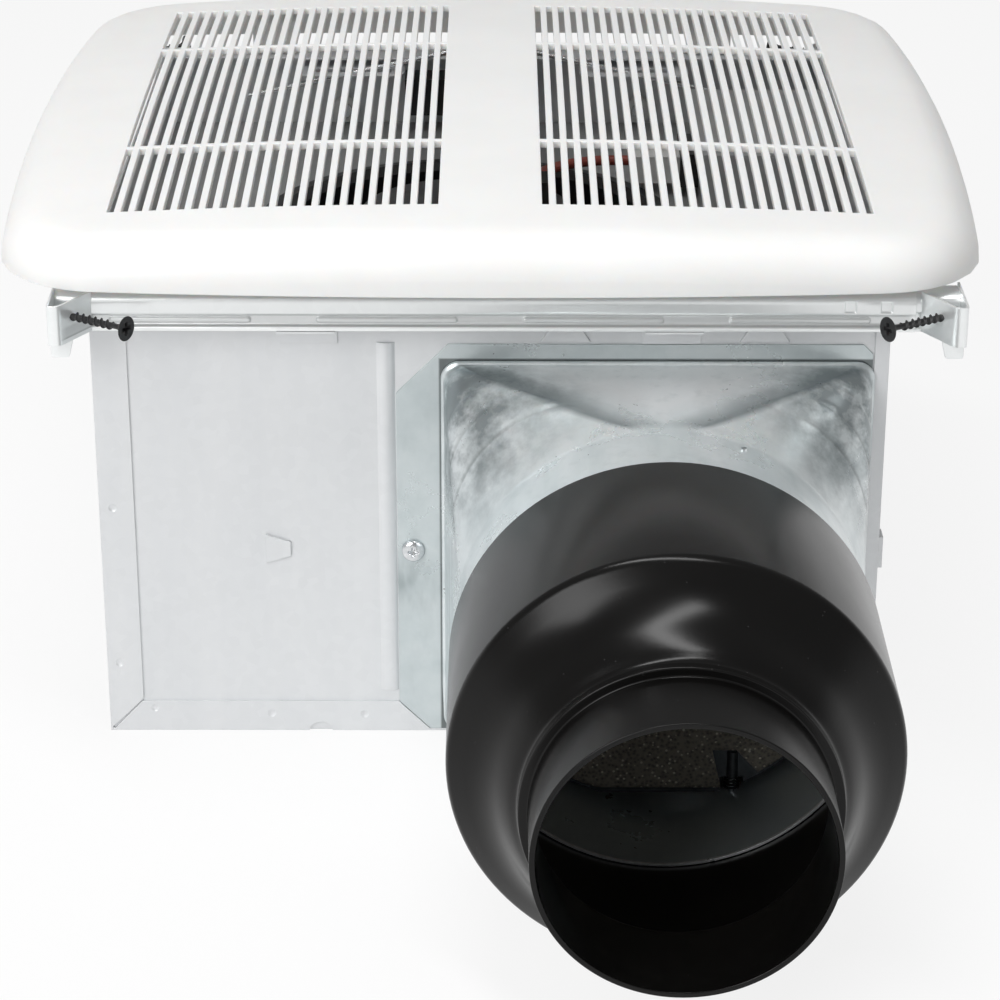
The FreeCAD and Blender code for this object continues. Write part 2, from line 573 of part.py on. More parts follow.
def rail_line(inset):
    """The bar's section from its upper rear edge, over the rounded top, down face and web to the lower lip."""
    deep = size.bar_depth
    tall = size.bar_high - size.bar_low
    web = deep - size.bar_step
    rise = size.bar_step * 0.6
    section = [(size.bar_round, tall), (deep - size.bar_round, tall), (deep, tall - size.bar_round),
               (deep, size.bar_face_low), (web, size.bar_face_low - rise), (web, size.bar_lip + rise),
               (deep, size.bar_lip), (deep, 0)]
    corners = [point(0, FRONT - y, size.bar_low + z) for y, z in section]
    return offset_line(corners, X_AXIS, inset) if inset else corners


def bar_bead(middle):
    """A long bead pressed out of the bar's web."""
    half = (size.bar_bead_length - size.bar_bead_width) / 2
    back = FRONT - size.bar_depth + size.bar_step + size.gauge / 2
    height = size.bar_low + (size.bar_face_low + size.bar_lip) / 2
    proud = size.gauge * 1.3
    bead = Part.makeBox(2 * half, proud, size.bar_bead_width,
                        point(middle - half, back - proud, height - size.bar_bead_width / 2))
    for x in (middle - half, middle + half):
        bead = bead.fuse(Part.makeCylinder(size.bar_bead_width / 2, proud, point(x, back, height), -Y_AXIS))
    return bead


def end_bracket(end, web_depth):
    """The folded left end of a bar: joist flange, wide front fold, slanted web back to the bar and a tongue."""
    slant = math.radians(size.bracket_slant)
    hem = end + size.bracket_hem
    tip = FRONT - size.bracket_reach
    run = size.bracket_reach - web_depth + size.gauge / 2
    line = [point(end, FRONT - size.bar_round, size.bar_low), point(end, tip, size.bar_low),
            point(hem, tip, size.bar_low), point(hem + run * math.tan(slant), tip + run, size.bar_low)]
    fold = strip(line, Z_AXIS, size.gauge, size.bar_high - size.bar_low)
    wide = end + size.tongue_width
    high = size.bar_low + size.bar_face_low
    outline = [(end, high), (wide, high), (wide, size.bar_low), (wide - size.gauge * 2, size.tongue_low),
               (end, size.tongue_low)]
    corners = [point(x, tip + size.tongue_back, z) for x, z in outline]
    tongue = Part.Face(Part.makePolygon(corners + corners[:1])).extrude(Y_AXIS * size.gauge)
    axis = point(math.cos(slant), -math.sin(slant), 0)
    along = point(math.sin(slant), math.cos(slant), 0)
    entry = point(hem, tip, size.bar_low + size.hanger_screw_rise) + along * (run / 2)
    hole = Part.makeCylinder(size.hanger_screw_radius + size.fit_gap, 4 * size.gauge,
                             entry - axis * 2 * size.gauge, axis)
    return fold.fuse(tongue).cut(hole), entry, axis


def hanger_screw(entry, axis):
    """A drywall screw parked in its bracket: bugle head with a cross recess, plain shank and point."""
    radius = size.hanger_screw_radius
    head = size.hanger_screw_head
    out = size.hanger_screw_out
    outline = [(0, -size.hanger_screw_in), (radius, -size.hanger_screw_in + 2 * radius), (radius, out - head),
               (radius * 1.25, out - head * 0.6), (head * 0.8, out - head * 0.25),
               (head, out - head * 0.1), (head, out), (0, out)]
    corners = [point(x, 0, z) for x, z in outline]
    screw = Part.Face(Part.makePolygon(corners + corners[:1])).revolve(point(0, 0, 0), Z_AXIS, 360)
    for turn in (0, 90):
        arm = Part.makeBox(head, head / 4, head * 0.5, point(-head / 2, -head / 8, out - head * 0.5))
        arm.rotate(point(0, 0, 0), Z_AXIS, turn)
        screw = screw.cut(arm)
    return screw.transformed(FreeCAD.Placement(entry, FreeCAD.Rotation(Z_AXIS, axis)).toMatrix(), True)


def hanger_bars():
    """Front and rear pairs of telescoping bars, each pair alike and turned half round for the rear."""
    outer_line = rail_line(0)
    nest = size.gauge + size.bar_clearance
    inner_line = rail_line(nest)
    outer = strip(outer_line, X_AXIS, size.gauge, size.bar_left + size.bar_sleeve_end)
    outer.translate(point(-size.bar_left, 0, 0))
    inner = strip(inner_line, X_AXIS, size.gauge, size.bar_right + size.bar_tail)
    inner.translate(point(-size.bar_right, 0, 0))
    for step in (-1.5, -0.5, 0.5, 1.5):
        outer = outer.fuse(bar_bead(step * size.bar_bead_pitch))
    left_fold, left_entry, left_axis = end_bracket(-size.bar_left, size.bar_depth)
    right_fold, right_entry, right_axis = end_bracket(-size.bar_right, size.bar_depth - nest)
    shapes = {
        "outer_bar": outer.fuse(left_fold).removeSplitter(),
        "outer_screw": hanger_screw(left_entry, left_axis),
        "inner_bar": inner.fuse(right_fold).removeSplitter().mirror(point(0, 0, 0), X_AXIS),
        "inner_screw": hanger_screw(right_entry, right_axis).mirror(point(0, 0, 0), X_AXIS),
    }
    for end, turn, place in (("front", 0, size.guide_place), ("rear", 180, size.rear_guide_place)):
        for name, shape in shapes.items():
            thing = made(end + "_" + name, shape)
            thing.Placement = FreeCAD.Placement(point(0, 0, 0), FreeCAD.Rotation(Z_AXIS, turn))
            keep(thing, end + "_" + name)
        guides = []
        for side in (-1, 1):
            guides.append(bar_guide(side * place))
        thing = made(end + "_bar_guides", Part.makeCompound(guides))
        thing.Placement = FreeCAD.Placement(point(0, 0, 0), FreeCAD.Rotation(Z_AXIS, turn))
        keep(thing, end + "_bar_guides")


def bar_guide(middle):
    """A hook on the wall: its upper arm lies in the bars' channel and its lower arm under their lip."""
    left = middle - size.guide_width / 2
    nest = 2 * size.gauge + size.bar_clearance
    top = size.bar_high - nest - size.fit_gap
    low = size.bar_low - size.fit_gap
    foot = size.duct_height + size.connector_height / 2 + size.flange_top + size.fit_gap
    base = Part.makeBox(size.guide_width, size.gauge, top - foot, point(left, FRONT, foot))
    upper = Part.makeBox(size.guide_width, size.bar_depth * 0.6, size.gauge,
                         point(left, FRONT - size.bar_depth * 0.6, top - size.gauge))
    lower = Part.makeBox(size.guide_width, size.bar_depth, size.gauge,
                         point(left, FRONT - size.bar_depth, low - size.gauge))
    return base.fuse([upper, lower]).removeSplitter()


def arc_edge(centre, radius, start, end):
    """An arc in the plan, between two angles in degrees."""
    places = []
    for angle in (start, (start + end) / 2, end):
        places.append(centre + point(math.cos(math.radians(angle)), math.sin(math.radians(angle)), 0) * radius)
    return Part.Arc(*places).toShape()


def scroll():
    """The volute: three growing arcs from the tongue round to the outlet's outer wall."""
    step = size.scroll_step
    left = CONNECTOR_LEFT + size.gauge
    front = FRONT + 2 * size.gauge + size.fit_gap
    first = point(size.wheel_place, 0, size.gauge)
    second = first + point(step, 0, 0)
    third = second + point(0, -step, 0)
    walls = []
    for skin in (0.0, size.gauge):
        radius = size.scroll_radius + skin
        tongue = -math.degrees(math.acos((left - skin - size.wheel_place) / radius))
        start = first + point(math.cos(math.radians(tongue)), math.sin(math.radians(tongue)), 0) * radius
        finish = third + point(radius + 2 * step, 0, 0)
        mouth = point(left - skin, front, size.gauge)
        outlet = point(finish.x, front, size.gauge)
        edges = [Part.LineSegment(mouth, start).toShape(), arc_edge(first, radius, tongue, -180),
                 arc_edge(second, radius + step, 180, 90), arc_edge(third, radius + 2 * step, 90, 0),
                 Part.LineSegment(finish, outlet).toShape()]
        walls.append((mouth, edges, outlet))
    (mouth, inner, outlet), (outer_mouth, outer, outer_outlet) = walls
    ends = [Part.LineSegment(outlet, outer_outlet).toShape(), Part.LineSegment(outer_mouth, mouth).toShape()]
    outline = Part.Wire(Part.sortEdges(inner + outer + ends)[0])
    wall = Part.Face(outline).extrude(Z_AXIS * (size.plate_height - size.gauge))
    keep(made("blower_scroll", wall), "blower_scroll")


def blower_plate():
    plate = block("plate_sheet", ("-housing_width / 2 + gauge + fit_gap", "-housing_depth / 2 + 2 * gauge + fit_gap",
                                  "plate_height"),
                  ("housing_width - 2 * gauge - 2 * fit_gap", "housing_depth - 4 * gauge - 2 * fit_gap", "gauge"))
    hole = rod("plate_hole", ("wheel_place", "0", "0"), "throat_radius + throat_wall + fit_gap", "housing_height")
    keep(cut("blower_plate", plate, [hole]), "blower_plate")
    top = "plate_height + gauge"
    ring = turned("inlet_ring", [
        ("throat_radius", "throat_low"), ("throat_radius + throat_wall", "throat_low"),
        ("throat_radius + throat_wall", top), ("throat_lip", top), ("throat_lip", top + " + throat_wall"),
        ("throat_radius + 3 * throat_wall", top + " + 2 * throat_wall"), ("throat_radius", top)])
    keep(placed(ring, ("wheel_place", "0", "0")), "inlet_ring")


def blower_wheel():
    """Forward-curved wheel: back plate with its hub, blades, and the ring that ties their free ends."""
    centre = point(size.wheel_place, 0, 0)
    inner = size.wheel_radius - size.wheel_blade_depth
    lead = math.radians(size.blade_lead)
    wall = size.wheel_wall
    plate = Part.makeCylinder(size.wheel_radius, wall, point(0, 0, size.wheel_low))
    hub = Part.makeCylinder(size.hub_radius, size.hub_high - size.wheel_low, point(0, 0, size.wheel_low))
    bore = Part.makeCylinder(size.shaft_radius, size.housing_height)
    ring = Part.makeCylinder(size.wheel_radius, 3 * wall, point(0, 0, size.wheel_high - 3 * wall))
    ring = ring.cut(Part.makeCylinder(size.wheel_radius - 2 * wall, size.housing_height))
    places = [(inner, 0.0), (inner + size.wheel_blade_depth * 0.6, -lead * 0.35),
              (size.wheel_radius - wall / 4, -lead)]
    face_edges = []
    for shift in (0.0, wall / size.wheel_radius):
        bow = [point(r * math.cos(a + shift), r * math.sin(a + shift), size.wheel_low + wall / 2)
               for r, a in places]
        face_edges.append((bow, Part.Arc(*bow).toShape()))
    (near, near_edge), (far, far_edge) = face_edges
    sides = [Part.LineSegment(near[0], far[0]).toShape(), Part.LineSegment(near[2], far[2]).toShape()]
    section = Part.Face(Part.Wire(Part.sortEdges([near_edge, far_edge] + sides)[0]))
    blade = section.extrude(Z_AXIS * (size.wheel_high - size.wheel_low - wall))
    count = int(size.wheel_blades)
    blades = []
    for number in range(count):
        copy = blade.copy()
        copy.rotate(point(0, 0, 0), Z_AXIS, 360.0 * number / count)
        blades.append(copy)
    wheel = plate.fuse([hub, ring] + blades).cut(bore)
    wheel.translate(centre)
    keep(made("blower_wheel", wheel), "blower_wheel")
    shaft = rod("motor_shaft", ("wheel_place", "0", "wheel_low"), "shaft_radius",
                "motor_low - wheel_low + shaft_inside")
    keep(shaft, "motor_shaft")


def motor():
    """Motor hung from a three-armed bracket on rubber isolators across the inlet."""
    top = "plate_height + gauge + isolator_height"
    seat = "shaft_radius * 2"
    shoulder = "motor_radius - shaft_radius"
    can = turned("motor_can", [
        (seat, "motor_low"), (seat + " + shaft_radius", "motor_low"),
        (seat + " + 2 * shaft_radius", "motor_low + shaft_radius * 2"),
        (shoulder, "motor_low + shaft_radius * 2"), ("motor_radius", "motor_low + shaft_radius * 3"),
        ("motor_radius", top + " - shaft_radius"), (shoulder, top), (seat, top)])
    keep(placed(can, ("wheel_place", "0", "0")), "motor_can")
    bearings = []
    for low in ("motor_low", "motor_low + bearing_span"):
        race = rod("bearing_race", ("wheel_place", "0", low), seat, "shaft_radius * 3")
        bore = rod("bearing_bore", ("wheel_place", "0", "0"), "shaft_radius + shaft_clearance", "housing_height")
        bearings.append(cut("bearing", race, [bore]))
    keep(compound("motor_bearings", bearings), "motor_bearings")
    pieces = [rod("spider_disc", ("wheel_place", "0", top), "motor_radius", "bracket_sheet")]
    isolators = []
    studs = []
    nuts = []
    low = "plate_height + gauge"
    for angle in (90, 210, 330):
        arm = doc.addObject("Part::Box", "spider_arm")
        bind(arm, Length="isolator_circle + isolator_radius", Width="arm_width", Height="bracket_sheet")
        shift = point(math.sin(math.radians(angle)), -math.cos(math.radians(angle)), 0) * (size.arm_width / 2)
        arm.Placement = FreeCAD.Placement(point(0, 0, 0), FreeCAD.Rotation(Z_AXIS, angle))
        placed(arm, ("wheel_place + arm_width * %.6f" % (shift.x / size.arm_width),
                     "arm_width * %.6f" % (shift.y / size.arm_width), top))
        pieces.append(arm)
        across = "wheel_place + isolator_circle * %.6f" % math.cos(math.radians(angle))
        along = "isolator_circle * %.6f" % math.sin(math.radians(angle))
        studs.append(rod("stud", (across, along, low), "stud_radius",
                         "isolator_height + bracket_sheet + nut_height * 1.5"))
        bore = rod("stud_bore", (across, along, "0"), "stud_radius + shaft_clearance", "housing_height")
        isolators.append(cut("isolator", rod("rubber", (across, along, low), "isolator_radius", "isolator_height"),
                             [bore]))
        hexagon = doc.addObject("Part::Prism", "nut_blank")
        hexagon.Polygon = 6
        bind(hexagon, Circumradius="nut_radius", Height="nut_height")
        placed(hexagon, (across, along, top + " + bracket_sheet"))
        nuts.append(cut("nut", hexagon, [rod("nut_bore", (across, along, "0"), "stud_radius + shaft_clearance",
                                             "housing_height")]))
    bores = []
    for stud in studs:
        bores.append(rod("spider_bore", ("0", "0", "0"), "stud_radius + shaft_clearance", "housing_height"))
        for axis in "xy":
            bores[-1].setExpression("Placement.Base." + axis, stud.Name + ".Placement.Base." + axis)
    keep(cut("motor_bracket", joined("spider", pieces), bores), "motor_bracket")
    keep(compound("isolators", isolators), "isolators")
    keep(compound("bracket_studs", studs), "bracket_studs")
    keep(compound("bracket_nuts", nuts), "bracket_nuts")


def wiring():
    """Wiring box on the right wall, its cover, the receptacle with the motor plug, and the motor lead."""
    low = "plate_height + gauge"
    inner = "housing_width / 2 - gauge - fit_gap"
    outer = block("wiring_outer", ("wiring_left", "wiring_front", low),
                  (inner + " - wiring_left", "wiring_rear - wiring_front",
                   "wiring_top - gauge - plate_height - gauge"))
    room = block("wiring_room", ("wiring_left + gauge", "wiring_front + gauge", "0"),
                 ("housing_width", "wiring_rear - wiring_front - 2 * gauge", "housing_height"))
    keep(cut("wiring_box", outer, [room]), "wiring_box")
    cover = block("wiring_cover", ("wiring_left", "wiring_front", "wiring_top - gauge"),
                  (inner + " - wiring_left", "wiring_rear - wiring_front", "gauge"))
    keep(cover, "wiring_cover")
    base = "plate_height + gauge * 6"
    socket = block("receptacle", ("wiring_left - socket_depth", "wiring_front + socket_inset", base),
                   ("socket_depth", "socket_width", "socket_height"))
    keep(socket, "receptacle")
    plug = block("motor_plug", ("wiring_left - socket_depth * 3.5", "wiring_front + socket_inset + plug_margin",
                                base + " + gauge"),
                 ("socket_depth * 2.5", "socket_width - 2 * plug_margin", "socket_height - plug_margin"))
    keep(plug, "motor_plug")
    side = size.terminal_side
    terminal = block("motor_terminal", ("wheel_place + terminal_place", "-terminal_side / 4",
                                        "plate_height + gauge + isolator_height + bracket_sheet"),
                     ("terminal_side", "terminal_side", "terminal_height"))
    keep(terminal, "motor_terminal")
    start = point(size.wiring_left - size.socket_depth * 3.5,
                  size.wiring_front + size.socket_inset + size.socket_width / 2,
                  PLATE_TOP + size.gauge * 5 + size.socket_height / 2)
    end = point(size.wheel_place + size.terminal_place + side / 2, side * 0.75,
                BRACKET_TOP + size.bracket_sheet + size.terminal_height / 2)
    slack = size.lead_slack
    route = [start, start + point(-slack, 0, 0), start + point(-2 * slack, -slack * 0.6, size.lead_radius / 2),
             end + point(0, side, 0), end]
    keep(made("motor_lead", tube_route(route, size.lead_radius)), "motor_lead")
    rear = "housing_depth / 2 - 2 * gauge - capacitor_deep"
    keep(block("run_capacitor", ("capacitor_left", rear, "capacitor_low"),
               ("capacitor_width", "capacitor_deep", "capacitor_tall")), "run_capacitor")


def grille_outline(inset):
    """Rectangle with bowed sides and round corners, as eight tangent arcs."""
    half_deep = size.grille_half - inset
    half_wide = size.grille_half_width - inset
    start_deep = size.grille_half - size.grille_corner
    slope = size.grille_bow / start_deep
    start_wide = (size.grille_half_width - size.grille_bow - size.grille_corner) / (1 - slope)
    flank_wide = half_wide - size.grille_bow
    flank_deep = half_deep - slope * start_wide
    half_turn = math.pi / 4 - 2 * math.atan(slope)
    bulge = (flank_wide - start_wide) / 2 * math.tan(half_turn / 2)
    crown_wide = (start_wide + flank_wide) / 2 + bulge
    crown_deep = (start_deep + flank_deep) / 2 + bulge
    front = [(-start_wide, -flank_deep), (0, -half_deep), (start_wide, -flank_deep), (crown_wide, -crown_deep),
             (flank_wide, -start_deep)]
    right = [(-start_deep, -flank_wide), (0, -half_wide), (start_deep, -flank_wide), (crown_deep, -crown_wide),
             (flank_deep, -start_wide)]
    edges = []
    for quarter, places in enumerate((front, right, front, right)):
        turn = FreeCAD.Rotation(Z_AXIS, 90 * quarter)
        first, middle, last, corner, end = [turn.multVec(point(x, y, size.grille_low)) for x, y in places]
        edges.append(Part.Arc(first, middle, last).toShape())
        edges.append(Part.Arc(last, corner, end).toShape())
    return Part.Wire(edges)


def dome(inset):
    """The cover's outer or inner form: the outline carried up to a shallow ball and rounded over."""
    top = size.grille_top - inset
    ball = size.slot_reach ** 2 / (2 * size.grille_drop)
    prism = Part.Face(grille_outline(inset)).extrude(Z_AXIS * (top - size.grille_low + size.grille_drop))
    cap = prism.common(Part.makeSphere(ball, point(0, 0, top - ball)))
    rim = []
    for edge in cap.Edges:
        box = edge.BoundBox
        if box.ZMin > size.grille_low + inset and box.ZMax - box.ZMin < size.grille_round:
            rim.append(edge)
    return cap.makeFillet(size.grille_round - inset, rim)


def grille_height(x, y):
    """Height of the cover's under side at a place."""
    ball = size.slot_reach ** 2 / (2 * size.grille_drop)
    return size.grille_top - size.grille_wall - (x * x + y * y) / (2 * ball)


def grille():
    shell = dome(0).cut(dome(size.grille_wall))
    rows = [(-size.slot_reach, -size.rib_place - size.rib_width / 2),
            (-size.rib_place + size.rib_width / 2, size.rib_place - size.rib_width / 2),
            (size.rib_place + size.rib_width / 2, size.slot_reach)]
    half = size.slot_width / 2
    deep = size.grille_top - size.grille_low
    slots = []
    for side in (-1, 1):
        for number in range(int(size.slots_across)):
            x = side * (size.field_inner + number * size.slot_pitch)
            for low, high in rows:
                middle = Part.makeBox(2 * half, high - low - 2 * half, deep,
                                      point(x - half, low + half, size.grille_low))
                ends = [Part.makeCylinder(half, deep, point(x, y, size.grille_low))
                        for y in (low + half, high - half)]
                slots.append(middle.fuse(ends).removeSplitter())
    shell = shell.cut(Part.makeCompound(slots))
    posts = []
    rest = size.housing_height + size.fit_gap
    length = size.post_length
    wide = size.post_width
    web = size.spring_web
    for side in (-1, 1):
        for x in (-size.post_place, size.post_place):
            y = side * (size.housing_depth / 2 - 3 * size.gauge - wide / 2)
            high = grille_height(abs(x) + length / 2, y) + size.grille_wall / 2
            posts.append(Part.makeBox(length, wide, high - rest, point(x - length / 2, y - wide / 2, rest)))
        seat = side * (size.spring_plane - size.spring_wire * 1.5 - coil_length() - web)
        high = grille_height(0, seat) + size.grille_wall / 2
        pin = size.spring_coil_radius - size.spring_wire / 2 - size.fit_gap
        low = size.spring_height - pin
        posts.append(Part.makeBox(2 * pin, web, high - low, point(-pin, seat - web / 2, low)))
        reach = abs(size.spring_plane - abs(seat)) + size.spring_wire
        posts.append(Part.makeCylinder(pin, reach, point(0, seat, size.spring_height), Y_AXIS * side))
    keep(made("grille", shell.fuse(posts)), "grille")


def coil_length():
    return size.spring_coil_pitch * size.spring_coil_turns + size.spring_wire


def grille_springs():
    """Two torsion springs under the cover, and the slotted retainers that their legs slide in."""
    winding = coil(size.spring_coil_radius, size.spring_coil_pitch, size.spring_coil_turns, size.spring_wire,
                   "grille spring")
    slant = math.radians(size.spring_slant)
    inner = size.spring_coil_radius - size.spring_wire / 2
    tongues = []
    for end, side in (("front", -1), ("rear", 1)):
        tip = size.spring_plane - size.spring_wire
        thing = made(end + "_spring_coil", winding)
        low = tip - size.spring_coil_pitch * size.spring_coil_turns
        turn = FreeCAD.Rotation(Z_AXIS, Y_AXIS * side)
        foot = point(0, side * (low - size.spring_wire / 2), size.spring_height)
        thing.Placement = FreeCAD.Placement(foot, turn)
        keep(thing, end + "_spring_coil")
        for hand, way in (("left", -1), ("right", 1)):
            heading = point(way * math.sin(slant), 0, -math.cos(slant))
            start = point(0, side * size.spring_plane, size.spring_height) + heading * inner
            leg = Part.makeCylinder(size.spring_wire / 2, size.spring_leg - inner, start, heading)
            keep(made("%s_spring_%s_leg" % (end, hand), leg), "%s_spring_%s_leg" % (end, hand))
            tongues.append(retainer(side, way))
    keep(made("spring_retainers", Part.makeCompound(tongues)), "spring_retainers")


def retainer(side, way):
    """A tongue on the wall under the rim, with a slot along the leg's travel."""
    margin = size.retainer_margin
    left = size.retainer_slot_in - margin
    wide = size.retainer_slot_out - size.retainer_slot_in + 2 * margin
    wall = size.housing_depth / 2 - 2 * size.gauge
    edge = size.spring_plane - size.retainer_slot_width / 2 - margin
    low = size.retainer_height - size.gauge
    plate = Part.makeBox(wide, wall - edge, size.gauge, point(left, edge, low))
    inner = [e for e in plate.Edges if e.BoundBox.ZLength > 0 and abs(e.CenterOfMass.y - edge) < size.gauge / 2]
    plate = plate.makeFillet(margin, inner)
    slot = Part.makeBox(size.retainer_slot_out - size.retainer_slot_in, size.retainer_slot_width, size.gauge,
                        point(size.retainer_slot_in, size.spring_plane - size.retainer_slot_width / 2, low))
    tongue = plate.cut(slot)
    if way < 0:
        tongue = tongue.mirror(point(0, 0, 0), X_AXIS)
    if side < 0:
        tongue = tongue.mirror(point(0, 0, 0), Y_AXIS)
    return tongue


back_pan()
side_panel("left_panel", -1, "side_flange")
side_panel("right_panel", 1, "(housing_width / 2 - duct_place - connector_width / 2 - 2 * fit_gap)")
front_panel()
rear_panel()
rear_bolts()
duct_connector()
reducer()
damper()
hanger_bars()
scroll()
blower_plate()
blower_wheel()
motor()
wiring()
grille()
grille_springs()
doc.recompute()

for thing in doc.Objects:
    if "Invalid" in thing.State or "Error" in thing.State:
        raise RuntimeError("%s failed: %s" % (thing.Name, thing.State))
for node in nodes:
    if node.Shape.isNull() or not node.Shape.isValid():
        raise RuntimeError("%s has no valid shape" % node.Label)
os.makedirs("parts", exist_ok=True)
for node in nodes:
    solids = node.Shape.Solids
    print("%s: %d solid(s), %.1f mm3" % (node.Label, len(solids), node.Shape.Volume))
    node.Shape.exportStep("parts/%s.step" % node.Label)
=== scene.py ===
"""Looks of the bathroom exhaust fan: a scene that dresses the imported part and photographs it."""

import cmath
import math

import bmesh
import bpy
import numpy as np
from mathutils import Matrix, Vector, noise


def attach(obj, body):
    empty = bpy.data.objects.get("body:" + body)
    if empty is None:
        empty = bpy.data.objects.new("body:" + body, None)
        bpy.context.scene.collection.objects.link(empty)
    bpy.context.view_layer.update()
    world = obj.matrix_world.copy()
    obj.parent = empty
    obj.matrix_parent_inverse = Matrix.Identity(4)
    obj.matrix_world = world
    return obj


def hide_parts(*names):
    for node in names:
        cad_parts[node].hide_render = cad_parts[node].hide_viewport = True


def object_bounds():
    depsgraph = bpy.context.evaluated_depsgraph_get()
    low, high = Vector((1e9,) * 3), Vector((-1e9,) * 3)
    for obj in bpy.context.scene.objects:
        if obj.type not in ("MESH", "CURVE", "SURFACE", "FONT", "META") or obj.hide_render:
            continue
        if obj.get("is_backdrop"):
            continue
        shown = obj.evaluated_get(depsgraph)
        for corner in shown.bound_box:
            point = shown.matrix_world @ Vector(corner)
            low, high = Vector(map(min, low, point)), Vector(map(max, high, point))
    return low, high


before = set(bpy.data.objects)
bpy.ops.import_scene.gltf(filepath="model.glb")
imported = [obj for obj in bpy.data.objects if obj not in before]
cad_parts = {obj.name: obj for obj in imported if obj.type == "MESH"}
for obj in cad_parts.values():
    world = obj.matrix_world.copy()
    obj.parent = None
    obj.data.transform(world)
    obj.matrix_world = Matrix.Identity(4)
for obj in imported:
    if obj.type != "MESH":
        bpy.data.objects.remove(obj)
cad_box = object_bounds()

# Lengths below are in millimetres, as in the part; Blender's are in metres.
MM = 0.001

# Housing and duct
FRONT = -151.5
GAUGE = 0.9
DUCT_X = 63.8
DUCT_Z = 79.5
DUCT_RADIUS = 76.2
CONNECTOR_WIDTH = 163.0
CONNECTOR_HEIGHT = 157.0
TRANSITION = 60.0
COLLAR_END = 111.0
RIPPLES = (0.28, 0.44, 0.60)
OUTLET_RADIUS = 50.8

# Grille
GRILLE_HALF = 181.0
GRILLE_HALF_WIDTH = 190.5
GRILLE_BOW = 5.0
GRILLE_CORNER = 46.0
GRILLE_LOW = 195.0
GRILLE_TOP = 221.5
GRILLE_DROP = 3.5
GRILLE_ROUND = 16.0
GRILLE_WALL = 3.0
SLOT_PITCH = 5.3
SLOT_WIDTH = 2.6
SLOTS_ACROSS = 24
FIELD_INNER = 20.8
SLOT_REACH = 141.0
FIELD_MARGIN = 1.2
SLOT_STATIONS = 9
RING_SHARES = (0.18, 0.36, 0.52, 0.66, 0.78, 0.87, 0.93, 0.965, 0.985, 0.996, 1.0)
RIB_PLACE = 70.0
RIB_WIDTH = 3.0

# Hanger bars
BAR_DEPTH = 15.0
BAR_LOW = 176.5
BAR_HIGH = 192.0
RAIL_HALF = 156.0


# Meshes

def mesh_piece(name, points, faces, body, slot, material, stands_for):
    """A mesh object made of points in millimetres, which rides on a body of the part."""
    mesh = bpy.data.meshes.new(name)
    mesh.from_pydata([Vector(p) * MM for p in points], [], faces)
    work = bmesh.new()
    work.from_mesh(mesh)
    bmesh.ops.recalc_face_normals(work, faces=work.faces)
    work.to_mesh(mesh)
    work.free()
    for polygon in mesh.polygons:
        polygon.use_smooth = True
    thing = bpy.data.objects.new(name, mesh)
    bpy.context.scene.collection.objects.link(thing)
    mesh.materials.append(material)
    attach(thing, body)
    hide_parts(*stands_for)
    return thing


def thicken(thing, wall):
    """Gives a sheet its wall, with the drawn face on the outside."""
    modifier = thing.modifiers.new("wall", "SOLIDIFY")
    modifier.thickness = wall * MM
    modifier.offset = -1.0


def soften(thing, width, segments, angle):
    """Rounds every edge sharper than the angle and keeps flat faces flat."""
    modifier = thing.modifiers.new("soft edges", "BEVEL")
    modifier.width = width * MM
    modifier.segments = segments
    modifier.limit_method = "ANGLE"
    modifier.angle_limit = math.radians(angle)
    modifier.harden_normals = True


def band_faces(first, second, closed=True):
    """Quads between two rows of point numbers, which are rings if they are closed."""
    count = len(first)
    return [(first[i], first[(i + 1) % count], second[(i + 1) % count], second[i])
            for i in range(count if closed else count - 1)]


def grid_faces(rows, columns, closed=False):
    """Quads over points that are listed row by row."""
    lines = [range(row * columns, (row + 1) * columns) for row in range(rows)]
    return [face for pair in zip(lines, lines[1:]) for face in band_faces(*pair, closed)]


def skinned(rings, looped=False):
    """Points and faces of a skin over rings; a face closes each end, or the ends meet if it is looped."""
    points = [point for ring in rings for point in ring]
    count = len(rings[0])
    last = len(points) - count
    faces = grid_faces(len(rings), count, True)
    if looped:
        faces += band_faces(range(last, last + count), range(count))
    else:
        faces += [tuple(range(count)), tuple(range(last, last + count))]
    return points, faces


def directions(count, shift=0.0):
    """Evenly spaced directions all round, the first one turned by a share of a step."""
    angles = [2 * math.pi * (step + shift) / count for step in range(count)]
    return [(math.cos(angle), math.sin(angle)) for angle in angles]


def between(first, second, share):
    """The point at a share of the way from one point of a plane to another."""
    return tuple(a + (b - a) * share for a, b in zip(first, second))


MOST_OF_RUN = 0.48


def bend(before, corner, after, back_reach, ahead_reach, steps):
    """Points round a corner, from a reach before it to a reach after it."""
    corner = Vector(corner)
    start = corner + (Vector(before) - corner).normalized() * back_reach
    end = corner + (Vector(after) - corner).normalized() * ahead_reach
    shares = [step / steps for step in range(steps + 1)]
    return [start * (1 - t) ** 2 + corner * (2 * t * (1 - t)) + end * t ** 2 for t in shares]


def rounded_line(corners, radius):
    """An open line in a plane with each inner corner rounded, no further than half of a run."""
    line = [Vector(corners[0])]
    for before, corner, after in zip(corners, corners[1:], corners[2:]):
        shortest = min((Vector(other) - Vector(corner)).length for other in (before, after))
        reach = min(radius, shortest * MOST_OF_RUN)
        line += bend(before, corner, after, reach, reach, 5)
    line.append(Vector(corners[-1]))
    return line


# Materials

